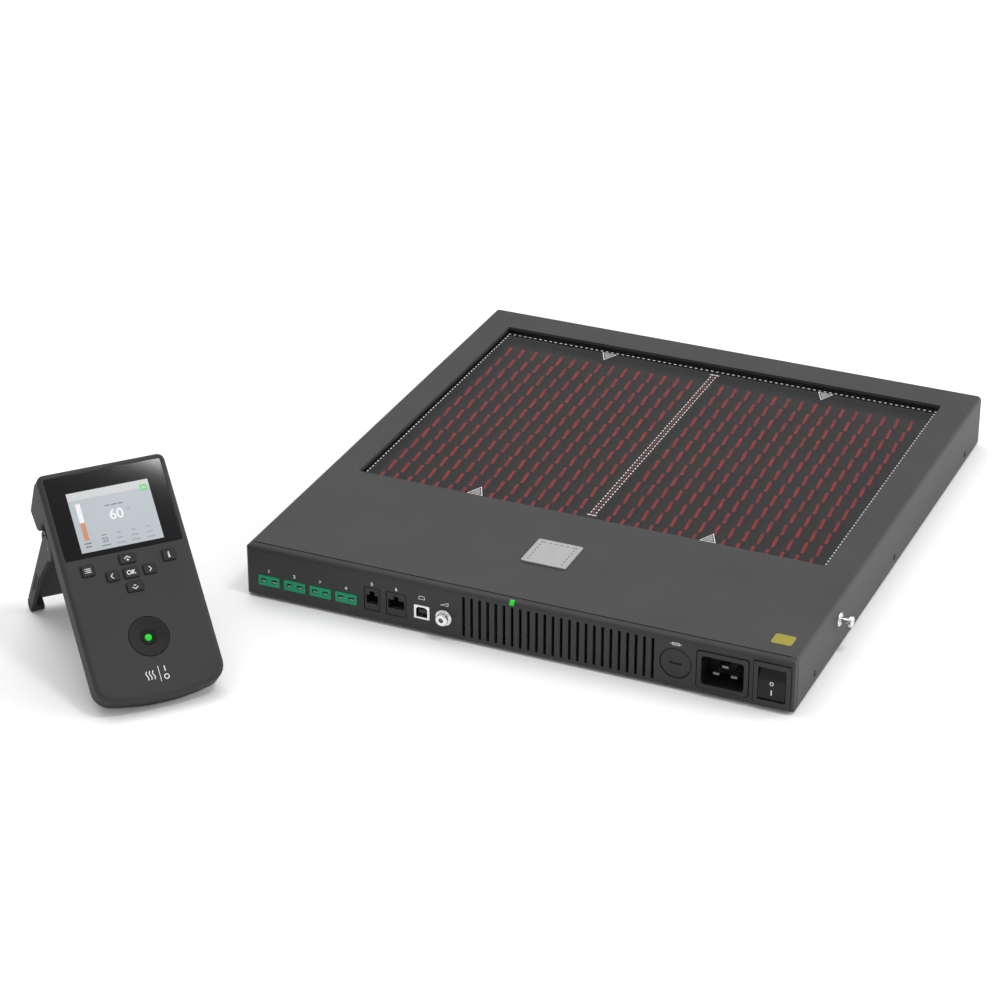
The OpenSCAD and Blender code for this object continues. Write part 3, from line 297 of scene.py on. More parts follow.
CHARCOAL: Rgb = (0.041, 0.041, 0.042)
FINISHES: dict[Slot, Finish] = {
    Slot.PAINTED_SHEET: Finish(
        "painted_sheet",
        CHARCOAL,
        0.55,
        grain=0.0009,
        relief=0.00002,
        edge_lift=0.12,
        edge_radius=0.00025,
        specular=0.4,
    ),
    Slot.PLATED_SHEET: Finish("plated_sheet", (0.5, 0.51, 0.53), 0.38, 1.0, cloud=0.03, mottle=0.15),
    Slot.PANEL: Finish(
        "panel_plastic", (0.032, 0.032, 0.033), 0.5, grain=0.0007, relief=0.00002, edge_lift=0.1, specular=0.3
    ),
    Slot.GLASS: Finish("smoked_glass", (0.014, 0.015, 0.015), 0.12, grain=0.02, relief=0.0, alpha=0.5),
    Slot.GASKET: Finish("gasket", (0.012, 0.012, 0.012), 0.8),
    Slot.INSULATION: Finish("fibre_board", (0.075, 0.078, 0.076), 0.95, grain=0.002, relief=0.0003, mottle=0.3),
    Slot.RIBBON: Finish("hot_ribbon", (0.8, 0.02, 0.016), 0.6, cloud=0.006, mottle=0.4, glow=0.8),
    Slot.CERAMIC: Finish("ceramic", (0.7, 0.68, 0.62), 0.7, mottle=0.1),
    Slot.BOARD: Finish("circuit_board", (0.02, 0.13, 0.05), 0.4, coat=0.3, cloud=0.004, mottle=0.35),
    Slot.ALUMINIUM: Finish(
        "brushed_aluminium",
        (0.47, 0.47, 0.47),
        0.48,
        0.6,
        grain=0.003,
        relief=0.000004,
        mottle=0.03,
        stretch=(6.0, 0.4, 1.0),
    ),
    Slot.BRIGHT: Finish("bright_metal", (0.8, 0.8, 0.81), 0.2, 1.0, grain=0.002, mottle=0.05, edge_lift=0.2),
    Slot.GOLD: Finish("gold_contact", (0.75, 0.5, 0.16), 0.25, 1.0),
    Slot.BLACK: Finish("black_plastic", (0.014, 0.014, 0.015), 0.38, edge_lift=0.12, specular=0.4),
    Slot.GREEN: Finish("green_plastic", (0.0, 0.28, 0.12), 0.45, edge_lift=0.06, specular=0.3),
    Slot.LAMP: Finish("green_lamp", (0.008, 0.4, 0.015), 0.35, cloud=0.002, mottle=0.2, specular=0.2, glow=0.6),
    Slot.RUBBER: Finish("foot_rubber", (0.018, 0.018, 0.018), 0.85, relief=0.00003),
    Slot.SCREW: Finish("dark_screw", (0.04, 0.04, 0.04), 0.4, 0.6),
    Slot.CONSOLE: Finish("console_plastic", (0.035, 0.035, 0.036), 0.6, edge_lift=0.06, specular=0.22),
    Slot.PANE: Finish("display_pane", (0.002, 0.002, 0.003), 0.03, relief=0.0, specular=0.26),
    Slot.SCREEN: Finish("screen_back", (0.5, 0.55, 0.6), 0.3),
    Slot.KEY: Finish(
        "key_plastic", (0.014, 0.014, 0.015), 0.5, edge_lift=0.1, edge_radius=0.0003, specular=0.25
    ),
}
NODE_FINISHES: dict[str, Finish] = {
    "heat_button": Finish("black_button", (0.004, 0.004, 0.004), 0.5, specular=0.15),
    "switch_rocker": Finish("rocker_plastic", (0.006, 0.006, 0.006), 0.42, specular=0.25),
    "inlet_pins": Finish("dull_blade", (0.22, 0.22, 0.22), 0.5, 0.9),
    "tc_contacts": Finish("dull_leaf", (0.4, 0.4, 0.4), 0.4, 0.9),
}
FLOOR = Finish("floor", (0.97, 0.97, 0.97), 0.9, mottle=0.004, relief=0.0)


class Ink(Enum):
    """Printed colours, a black painted shadow for gaps, a painted shade for the dish's hollow, and the dark lower
    part of the ribbons.
    """

    WHITE = Finish("white_ink", (0.78, 0.78, 0.78), 0.55, cloud=0.002)
    GREY = Finish("grey_ink", (0.25, 0.25, 0.25), 0.5, cloud=0.002)
    DARK = Finish("dark_ink", (0.05, 0.055, 0.06), 0.3, cloud=0.002)
    # Black painted shadow for the gaps at the seam, the panel's joints and the dish rim.
    SEAM = Finish("painted_gap_shadow", (0.004, 0.004, 0.004), 0.9, specular=0.0)
    # Painted shade for the hollow of the dish.
    SHADE = Finish("dish_shade", (0.024, 0.024, 0.024), 0.7, specular=0.1)
    RED = Finish("red_ink", (0.45, 0.06, 0.05), 0.5, cloud=0.002)
    YELLOW = Finish("yellow_film", (0.3, 0.25, 0.008), 0.35, coat=0.2, cloud=0.004, mottle=0.05)
    FIELD = Finish("screen_field", (0.295, 0.335, 0.36), 0.3, cloud=0.03, mottle=0.03, glow=0.05)
    HEADER = Finish("screen_header", (0.4, 0.41, 0.415), 0.3, mottle=0.03, glow=0.05)
    FIGURE = Finish("screen_figure", (0.62, 0.63, 0.64), 0.3, mottle=0.02, glow=0.05)
    ORANGE = Finish("screen_orange", (0.42, 0.13, 0.012), 0.3, mottle=0.05, glow=0.05)
    BADGE = Finish("screen_badge", (0.05, 0.42, 0.08), 0.3, mottle=0.05, glow=0.05)
    BLUE = Finish("screen_blue", (0.34, 0.44, 0.55), 0.3, mottle=0.05, glow=0.05)
    # The dark webs under the ribbons' glowing crests.
    COLD = Finish("dark_web_strip", (0.05, 0.022, 0.02), 0.7, mottle=0.2)


class Paintbox:
    """Builds each material once and hands it out."""

    def __init__(self) -> None:
        """Starts with nothing built."""
        self._built: dict[str, Material] = {}

    def slot(self, slot: Slot, node: str = "") -> Material:
        """Gives the material of a record slot, or of a solid with a finish of its own."""
        return self._get(NODE_FINISHES.get(node, FINISHES[slot]))

    def ink(self, ink: Ink) -> Material:
        """Gives the material of an ink."""
        return self._get(ink.value)

    def _get(self, finish: Finish) -> Material:
        """Builds a finish on first use."""
        if finish.name not in self._built:
            self._built[finish.name] = finish.build()
        return self._built[finish.name]


def link_piece(name: str, mesh: Mesh, body: str = Body.ROOT.value) -> Object:
    """Links a finished mesh as a piece that rides on a body.

    Args:
        name: The piece's name.
        mesh: Its mesh, in the row frame.
        body: The body it moves with.

    Returns:
        The linked object.
    """
    piece = bpy.data.objects.new(name, mesh)
    bpy.context.scene.collection.objects.link(piece)
    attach(piece, body)
    LOG.info("%s: %d faces on %s", name, len(mesh.polygons), body)
    return piece


def node_points(node: str) -> np.ndarray:
    """Vertices of a solid, one row each."""
    return np.array([v.co for v in FRAME["nodes"][node].data.vertices], float).reshape(-1, 3)


def span(node: str, axis: Vector) -> tuple[float, float]:
    """Lowest and highest reach of a solid along an axis."""
    reach = node_points(node) @ np.array(axis)
    return float(reach.min()), float(reach.max())


@dataclass(frozen=True)
class Face:
    """A flat place on the object: an origin and its right, up and outward directions."""

    origin: Vector
    right: Vector
    up: Vector
    out: Vector

    def matrix(self) -> Matrix:
        """Turns drawing coordinates into the row frame."""
        columns = Matrix((self.right, self.up, self.out)).transposed().to_4x4()
        return Matrix.Translation(self.origin) @ columns

    def shifted(self, x: float, y: float) -> "Face":
        """The same face with its origin moved across it."""
        return Face(self.origin + self.right * x + self.up * y, self.right, self.up, self.out)


def face_on(node: str, right: Vector, up: Vector) -> Face:
    """The outermost flat of a solid, with its origin at the solid's middle.

    Args:
        node: The solid's name.
        right: The face's right.
        up: The face's up.

    Returns:
        The face.
    """
    out = right.cross(up)
    middle = [sum(span(node, axis)) / 2 for axis in (right, up)]
    origin = right * middle[0] + up * middle[1] + out * span(node, out)[1]
    return Face(origin, right, up, out)


def evaluated(holder: Object) -> Mesh:
    """Finished geometry of an object that isn't linked yet, as a plain mesh; the object goes."""
    bpy.context.scene.collection.objects.link(holder)
    bpy.context.view_layer.update()
    done = bpy.data.meshes.new_from_object(holder.evaluated_get(bpy.context.evaluated_depsgraph_get()))
    bpy.data.objects.remove(holder)
    return done


class Bar(NamedTuple):
    """A printed bar in millimetres about its face's origin: middle, size, ink and layer."""

    x: float
    y: float
    w: float
    h: float
    ink: Ink = Ink.WHITE
    layer: int = 0


class PrintSheet:
    """Thin shapes of ink on one face, gathered into one mesh with a material for each ink."""

    def __init__(self, name: str, face: Face, thickness: float = 0.04 * MM, bold: float = 0.0) -> None:
        """Starts an empty sheet.

        Args:
            name: The piece's name.
            face: Where it lies.
            thickness: How far the ink stands out.
            bold: How far figures grow on each side, as a share of their height.
        """
        self.name = name
        self.face = face
        self.thickness = thickness
        self.bold = bold
        self.inks: list[Ink] = []
        self.mesh = bmesh.new()

    def _index(self, ink: Ink) -> int:
        """Material index of an ink on this sheet."""
        if ink not in self.inks:
            self.inks.append(ink)
        return self.inks.index(ink)

    def shape(self, points: Sequence[Point], ink: Ink, lift: float = 0.0) -> None:
        """Adds a convex or simple outline.

        Args:
            points: Its corners, anticlockwise.
            ink: Its ink.
            lift: Height of its underside.
        """
        low = [self.mesh.verts.new((x, y, lift)) for x, y in points]
        high = [self.mesh.verts.new((x, y, lift + self.thickness)) for x, y in points]
        faces = [self.mesh.faces.new(high), self.mesh.faces.new(low[::-1])]
        count = len(points)
        for i in range(count):
            j = (i + 1) % count
            faces.append(self.mesh.faces.new((low[i], low[j], high[j], high[i])))
        for new in faces:
            new.material_index = self._index(ink)

    def bar(self, x: float, y: float, w: float, h: float, ink: Ink, lift: float = 0.0) -> None:
        """Adds an upright rectangle about its middle."""
        a, b = w / 2, h / 2
        self.shape([(x - a, y - b), (x + a, y - b), (x + a, y + b), (x - a, y + b)], ink, lift)

    def bars(self, bars: Sequence[Bar]) -> None:
        """Adds bars, each on its layer of ink."""
        for b in bars:
            self.bar(b.x * MM, b.y * MM, b.w * MM, b.h * MM, b.ink, b.layer * self.thickness)

    def sketch(self, path: Sequence[Point], width: float, closed: bool = False, at: Point = (0.0, 0.0)) -> None:
        """Adds a white line whose points and width are in millimetres about a place."""
        self.stroke([(at[0] + x * MM, at[1] + y * MM) for x, y in path], width * MM, Ink.WHITE, closed)

    @staticmethod
    def _round_rect(x: float, y: float, w: float, h: float, r: float) -> list[Point]:
        """Outline of a rectangle with round corners about its middle."""
        points = []
        for k, (sx, sy) in enumerate(((1, 1), (-1, 1), (-1, -1), (1, -1))):
            for i in range(CORNER_STEPS + 1):
                t = math.radians(90 * k + 90 / CORNER_STEPS * i)
                points.append((x + sx * (w / 2 - r) + r * math.cos(t), y + sy * (h / 2 - r) + r * math.sin(t)))
        return points

    def rounded(self, x: float, y: float, w: float, h: float, r: float, ink: Ink, lift: float = 0.0) -> None:
        """Adds a rectangle with round corners about its middle."""
        self.shape(self._round_rect(x, y, w, h, r), ink, lift)

    def frame(self, x: float, y: float, w: float, h: float, r: float, width: float, ink: Ink) -> None:
        """Adds the outline of a rectangle with round corners about its middle."""
        self.stroke(self._round_rect(x, y, w, h, r), width, ink, closed=True)

    def stroke(self, path: Sequence[Point], width: float, ink: Ink, closed: bool = False) -> None:
        """Adds a line of even width with mitred corners.

        Args:
            path: The line's points.
            width: Its width.
            ink: Its ink.
            closed: True for an outline that returns to its start.
        """
        points = [Vector(p) for p in path]
        count = len(points)
        sides: list[tuple[Vector, Vector]] = []
        for i, p in enumerate(points):
            ways = []
            if closed or i > 0:
                ways.append((p - points[i - 1]).normalized())
            if closed or i < count - 1:
                ways.append((points[(i + 1) % count] - p).normalized())
            normals = [Vector((-w.y, w.x)) for w in ways]
            mitre = sum(normals, Vector((0.0, 0.0))).normalized()
            reach = width / 2 / max(MITRE_LIMIT, mitre.dot(normals[0]))
            sides.append((p + mitre * reach, p - mitre * reach))
        for i in range(count if closed else count - 1):
            (a, b), (c, d) = sides[i], sides[(i + 1) % count]
            self.shape([tuple(b), tuple(d), tuple(c), tuple(a)], ink)

    def ring(self, x: float, y: float, r: float, width: float, ink: Ink, tall: float = 1.0) -> None:
        """Adds a ring, drawn out upwards by the factor tall."""
        turns = [math.tau * i / RING_SIDES for i in range(RING_SIDES)]
        self.stroke([(x + r * math.cos(t), y + tall * r * math.sin(t)) for t in turns], width, ink, closed=True)

    def text(self, words: str, x: float, y: float, height: float, ink: Ink, lift: float = 0.0) -> None:
        """Adds figures, centred.

        Args:
            words: What is written.
            x: Middle across.
            y: Middle up.
            height: Height of a capital.
            ink: Its ink.
            lift: Height of its underside.
        """
        curve = bpy.data.curves.new(self.name + "_figures", "FONT")
        curve.body = words
        curve.align_x = "CENTER"
        curve.align_y = "CENTER"
        curve.size = height / CAPITAL
        curve.extrude = self.thickness / 2
        curve.offset = height * self.bold
        flat = evaluated(bpy.data.objects.new(self.name + "_figures", curve))
        flat.transform(Matrix.Translation((x, y, lift + self.thickness / 2)))
        known = len(self.mesh.faces)
        self.mesh.from_mesh(flat)
        self.mesh.faces.ensure_lookup_table()
        for new in self.mesh.faces[known:]:
            new.material_index = self._index(ink)
        bpy.data.meshes.remove(flat)

    def lay(self, paints: Paintbox, body: str = Body.ROOT.value) -> None:
        """Puts the finished sheet on its face.

        Args:
            paints: Where its inks come from.
            body: The body it moves with.
        """
        bmesh.ops.recalc_face_normals(self.mesh, faces=self.mesh.faces)
        mesh = bpy.data.meshes.new(self.name)
        self.mesh.transform(self.face.matrix())
        self.mesh.to_mesh(mesh)
        self.mesh.free()
        for ink in self.inks:
            mesh.materials.append(paints.ink(ink))
        link_piece(self.name, mesh, body)


class Recipe:
    """A Geometry Nodes tree with named sizes that ends in plain geometry of one material."""

    def __init__(self, name: str) -> None:
        """Starts a tree with its geometry and material sockets.

        Args:
            name: The tree's name.
        """
        self.tree = bpy.data.node_groups.new(name, "GeometryNodeTree")
        interface = self.tree.interface
        interface.new_socket("Geometry", in_out="INPUT", socket_type="NodeSocketGeometry")
        interface.new_socket("Material", in_out="INPUT", socket_type="NodeSocketMaterial")
        interface.new_socket("Geometry", in_out="OUTPUT", socket_type="NodeSocketGeometry")
        self.inputs = self.tree.nodes.new("NodeGroupInput")

    def size(self, name: str, kind: str = "NodeSocketFloat") -> NodeSocket:
        """Adds a named input and gives its socket."""
        self.tree.interface.new_socket(name, in_out="INPUT", socket_type=kind)
        return self.inputs.outputs[name]

    def node(self, kind: str, settings: dict[str, Any] | None = None, **inputs: Any) -> Node:
        """Adds a node, as add_node does."""
        return add_node(self.tree, kind, settings, **inputs)

    def close(self, points: NodeSocket, sizes: Sequence[NodeSocket], turn: NodeSocket) -> None:
        """Ends the tree in painted blocks of one size.

        Args:
            points: Where they stand.
            sizes: Their sizes along x, y and z.
            turn: How each is turned.
        """
        size = self.node("ShaderNodeCombineXYZ", **dict(zip("XYZ", sizes)))
        block = self.node("GeometryNodeMeshCube", Size=size.outputs["Vector"]).outputs["Mesh"]
        placed = self.node("GeometryNodeInstanceOnPoints", Points=points, Instance=block, Rotation=turn)
        real = self.node("GeometryNodeRealizeInstances", Geometry=placed.outputs["Instances"])
        paint = self.inputs.outputs["Material"]
        painted = self.node("GeometryNodeSetMaterial", Geometry=real.outputs["Geometry"], Material=paint)
        self.node("NodeGroupOutput", Geometry=painted.outputs["Geometry"])

    def run(self, start: Mesh, material: Material, **sizes: float) -> Mesh:
        """Runs the tree on a mesh.

        Args:
            start: The mesh it begins from.
            material: The material of the result.
            sizes: The named inputs, with _ for a space.

        Returns:
            The result as a plain mesh.
        """
        holder = bpy.data.objects.new(self.tree.name, start)
        modifier = holder.modifiers.new(self.tree.name, "NODES")
        modifier.node_group = self.tree
        values = {name.replace("_", " "): value for name, value in sizes.items()}
        values["Material"] = material
        for item in self.tree.interface.items_tree:
            if item.in_out == "INPUT" and item.name in values:
                modifier[item.identifier] = values[item.name]
        return evaluated(holder)


def dash_recipe() -> Recipe:
    """Blocks of one size set along the edges of a mesh.

    Returns:
        The tree, with the inputs Pitch, Dash, Width and Thickness.
    """
    recipe = Recipe("dashes_on_a_path")
    pitch, dash, width, thick = (recipe.size(n) for n in ("Pitch", "Dash", "Width", "Thickness"))
    curve = recipe.node("GeometryNodeMeshToCurve", Mesh=recipe.inputs.outputs["Geometry"])
    points = recipe.node(
        "GeometryNodeCurveToPoints", {"mode": "LENGTH"}, Curve=curve.outputs["Curve"], Length=pitch
    )
    turn = recipe.node("FunctionNodeAlignRotationToVector", {"axis": "X"}, Vector=points.outputs["Tangent"])
    recipe.close(points.outputs["Points"], (dash, width, thick), turn.outputs["Rotation"])
    return recipe


def block_recipe() -> Recipe:
    """Blocks of one size and turn, set in columns along x and rows along y.

    Returns:
        The tree, with the inputs Columns, Rows, Spread X, Spread Y, Width, Length, Height and Turn.
    """
    recipe = Recipe("blocks_in_rows")
    columns, rows = (recipe.size(n, "NodeSocketInt") for n in ("Columns", "Rows"))
    names = ("Spread X", "Spread Y", "Width", "Length", "Height", "Turn")
    spread_x, spread_y, width, length, height, turn = (recipe.size(n) for n in names)
    grid = recipe.node(
        "GeometryNodeMeshGrid", Size_X=spread_x, Size_Y=spread_y, Vertices_X=columns, Vertices_Y=rows
    )
    angles = recipe.node("ShaderNodeCombineXYZ", Z=turn)
    recipe.close(grid.outputs["Mesh"], (width, length, height), angles.outputs["Vector"])
    return recipe


def path_mesh(name: str, lines: Sequence[Sequence[Vector]]) -> Mesh:
    """A mesh of bare edges.

    Args:
        name: Its name.
        lines: Each line's points.

    Returns:
        The mesh.
    """
    points: list[Vector] = []
    edges: list[tuple[int, int]] = []
    for line in lines:
        edges += [(len(points) + i, len(points) + i + 1) for i in range(len(line) - 1)]
        points += list(line)
    mesh = bpy.data.meshes.new(name)
    mesh.from_pydata(points, edges, [])
    return mesh


def print_dashes(
    name: str, lines: Sequence[Sequence[Vector]], pitch: float, size: Sequence[float], paint: Material
) -> None:
    """Prints broken lines.

    Args:
        name: The piece's name.
        lines: Each line's points.
        pitch: From dash to dash.
        size: Length, width and thickness of a dash.
        paint: Their material.
    """
    start = path_mesh(name, lines)
    mesh = dash_recipe().run(start, paint, Pitch=pitch, Dash=size[0], Width=size[1], Thickness=size[2])
    link_piece(name, mesh)


def modified(mesh: Mesh, kind: str, **settings: float | str | bool) -> Mesh:
    """Runs one modifier on a mesh.

    Args:
        mesh: The mesh it begins from.
        kind: The modifier's type.
        settings: Its options, by property name.

    Returns:
        The result as a plain mesh.
    """
    holder = bpy.data.objects.new(mesh.name, mesh)
    modifier = holder.modifiers.new(kind.lower(), kind)
    for name, option in settings.items():
        setattr(modifier, name, option)
    return evaluated(holder)


def eased(
    node: str,
    width: float,
    slot: Slot,
    paints: Paintbox,
    body: str = Body.ROOT.value,
    segments: int = 2,
    crease: float = 32.0,
) -> None:
    """Stands a copy with softened edges in a solid's place.

    Args:
        node: The solid's name.
        width: Width of the softened edges; 0 only smooths the shading.
        slot: Its record slot.
        paints: Where its finish comes from.
        body: The body it moves with.
        segments: Steps across a softened edge.
        crease: Angle in degrees above which two faces meet in a hard edge.
    """
    work = bmesh.new()
    work.from_mesh(FRAME["nodes"][node].data)
    bmesh.ops.remove_doubles(work, verts=work.verts, dist=WELD)
    bmesh.ops.dissolve_limit(work, angle_limit=FLAT_ANGLE, verts=work.verts, edges=work.edges)
    mesh = bpy.data.meshes.new(node + "_eased")
    work.to_mesh(mesh)
    work.free()
    if width > 0:
        mesh = modified(
            mesh,
            "BEVEL",
            width=width,
            segments=segments,
            limit_method="ANGLE",
            angle_limit=BEVEL_ANGLE,
            miter_outer="MITER_ARC",
        )
    mesh.shade_smooth()
    mesh.set_sharp_from_angle(angle=math.radians(crease))
    mesh = modified(mesh, "WEIGHTED_NORMAL", mode="FACE_AREA", weight=FLAT_WEIGHT, keep_sharp=True)
    mesh.materials.clear()
    mesh.materials.append(paints.slot(slot, node))
    mesh.polygons.foreach_set("material_index", [0] * len(mesh.polygons))
    piece = link_piece(node + "_eased", mesh, body)
    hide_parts(node)


class Softbox(NamedTuple):
    """A rectangular lamp: its place, its width and height, its watts and the way its width runs."""

    name: str
    place: Vector
    size: Point
    power: float
    across: Vector


SOFTBOXES = (
    Softbox("overhead", Vector((-0.9, 0.4, 2.9)), (2.6, 2.6), 37.0, X),
    Softbox("right_side", Vector((2.4, 1.1, 1.0)), (2.0, 1.6), 36.0, Y),
)


@dataclass
class Studio:
    """Camera, lamps and floor."""

    eye: tuple[float, float, float] = (0.7631, -1.7594, 1.1286)
    azimuth: float = 23.68
    elevation: float = 27.72
    focal: float = 114.48
    sensor: float = 36.0
    near: float = 0.05
    aim: tuple[float, float, float] = (0.0, 0.0, 0.05)
    floor_size: float = 9.0
    sky: float = 0.63
    glint_edge: tuple[Point, Point] = ((17.5 * MM, 38.5 * MM), (46.0 * MM, 21.5 * MM))
    glint_corner: Point = (46.0 * MM, 36.0 * MM)
    glint_reach: float = 2.4
    glint_size: Point = (0.5, 0.25)
    glint_power: float = 12.0

    def camera(self, corner: Vector) -> None:
        """Stands the camera where the photograph was taken.

        Args:
            corner: Middle of the socket panel's foot, which the eye is measured from.
        """
        data = bpy.data.cameras.new("camera")
        data.lens = self.focal
        data.sensor_width = self.sensor
        data.clip_start = self.near
        lens = bpy.data.objects.new("camera", data)
        lens.location = corner + Vector(self.eye)
        lens.rotation_euler = (math.radians(90 - self.elevation), 0.0, math.radians(self.azimuth))
        bpy.context.scene.collection.objects.link(lens)
        bpy.context.scene.camera = lens

    def lamp(self, box: Softbox, aim: Vector) -> None:
        """Hangs one softbox.

        Args:
            box: The softbox.
            aim: What it faces.
        """
        data = bpy.data.lights.new(box.name, "AREA")
        data.shape = "RECTANGLE"
        data.size, data.size_y = box.size
        data.energy = box.power
        lamp = bpy.data.objects.new(box.name, data)
        back = (box.place - aim).normalized()
        side = (box.across - back * box.across.dot(back)).normalized()
        lamp.matrix_world = Face(box.place, side, back.cross(side), back).matrix()
        bpy.context.scene.collection.objects.link(lamp)

    def lights(self, pane: Face) -> None:
        """Hangs the softboxes and sets an even sky.

        Args:
            pane: Front of the console's glossy pane.
        """
        for box in SOFTBOXES:
            self.lamp(box, Vector(self.aim))
        self.glint(pane)
        world = bpy.data.worlds.new("sky")
        world.use_nodes = True
        background = world.node_tree.nodes["Background"]
        background.inputs["Color"].default_value = (1.0, 1.0, 1.0, 1.0)
        background.inputs["Strength"].default_value = self.sky
        bpy.context.scene.world = world

    def _mirrored(self, spot: Vector, out: Vector) -> Vector:
        """Where the line of sight through a spot goes after a mirror there.

        Args:
            spot: The spot on the mirror.
            out: The mirror's outward direction.

        Returns:
            The point that shows in the mirror, at the lamp's reach.
        """
        sight = (spot - bpy.context.scene.camera.location).normalized()
        return spot + sight.reflect(out) * self.glint_reach

    def glint(self, pane: Face) -> None:
        """Hangs a softbox that the pane mirrors in its upper right corner.

        Args:
            pane: The pane's front, with its origin at the middle.
        """
        spots = (*self.glint_edge, self.glint_corner)
        start, end, inside = (self._mirrored(pane.shifted(*spot).origin, pane.out) for spot in spots)
        along = (end - start).normalized()
        back = ((start + end) / 2 - pane.origin).normalized()
        inward = back.cross(along)
        if inward.dot(inside - start) < 0:
            inward = -inward
        place = (start + end) / 2 + inward * self.glint_size[1] / 2
        self.lamp(Softbox("console_glint", place, self.glint_size, self.glint_power, along), place - back)

    def floor(self) -> None:
        """Lays the pale floor."""
        half = self.floor_size / 2
        mesh = bpy.data.meshes.new("floor")
        corners = [(x * half, y * half, 0.0) for x, y in ((-1, -1), (1, -1), (1, 1), (-1, 1))]
        mesh.from_pydata(corners, [], [(0, 1, 2, 3)])
        mesh.materials.append(FLOOR.build())
        ground = bpy.data.objects.new("floor", mesh)
        bpy.context.scene.collection.objects.link(ground)


@dataclass
class Housing:
    """The flat heater box with its top fittings."""

    paints: Paintbox
    tick_pitch: float = 3.8 * MM
    tick_size: tuple[float, float, float] = (2.0 * MM, 0.7 * MM, 0.08 * MM)
    tick_inset: float = 4.2 * MM
    tick_gap: float = 2.0 * MM
    sticker_size: Point = (15.0 * MM, 13.0 * MM)
    sticker_inset: Point = (17.5 * MM, 26.0 * MM)
    sticker_corner: float = 2.0 * MM
    sticker_thick: float = 0.1 * MM
    plate_edge: float = 0.35 * MM
    seam_gap: float = 0.5 * MM
    seam_width: float = 0.9 * MM
    seam_corner: float = 5.0 * MM

    def build(self) -> None:
        """Softens the plate's edges, rules its border, lays the sticker and paints a shadow line into the seam."""
        eased("top_plate", self.plate_edge, Slot.ALUMINIUM, self.paints)
        self._plate_ticks()
        self._sticker()
        self._seam()

    def _seam(self) -> None:
        """Lays a black strip along the joint between the cover and the front panel, as painted shadow in the gap.
        """
        low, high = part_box("top_cover")
        start = low.y - self.seam_gap / 2
        mid, tall = (low + high) / 2, high.z - low.z - self.seam_corner
        top = PrintSheet("seam_shadow_top", Face(Vector((mid.x, start, high.z)), X, Y, Z))
        top.bar(0, 0, high.x - low.x - 2 * self.seam_corner, self.seam_width, Ink.SEAM)
        top.lay(self.paints)
        for name, x, out in (("seam_shadow_right", high.x, X), ("seam_shadow_left", low.x, -X)):
            side = PrintSheet(name, Face(Vector((x, start, low.z + tall / 2)), Z.cross(out), Z, out))
            side.bar(0, 0, self.seam_width, tall, Ink.SEAM)
            side.lay(self.paints)

    def _plate_ticks(self) -> None:
        """Rules fine ticks along three sides of the square plate."""
        low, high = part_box("top_plate")
        inset = Vector((self.tick_inset, self.tick_inset, 0))
        a, b = low + inset, high - inset
        left = [Vector((a.x, a.y, high.z)), Vector((a.x, b.y, high.z))]
        back = [Vector((a.x + self.tick_gap, b.y, high.z)), Vector((b.x - self.tick_gap, b.y, high.z))]
        right = [Vector((b.x, a.y, high.z)), Vector((b.x, b.y, high.z))]
        ink = self.paints.ink(Ink.DARK)
        print_dashes("plate_ticks", [left, back, right], self.tick_pitch, self.tick_size, ink)

    def _sticker(self) -> None:
        """Lays a plain yellow film near the front right corner of the cover."""
        low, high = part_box("top_cover")
        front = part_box("connector_panel")[0].y
        spot = Vector((high.x - self.sticker_inset[0], front + self.sticker_inset[1], high.z))
        sheet = PrintSheet("yellow_film", Face(spot, X, Y, Z), self.sticker_thick)
        sheet.rounded(0, 0, *self.sticker_size, self.sticker_corner, Ink.YELLOW)
        sheet.lay(self.paints)


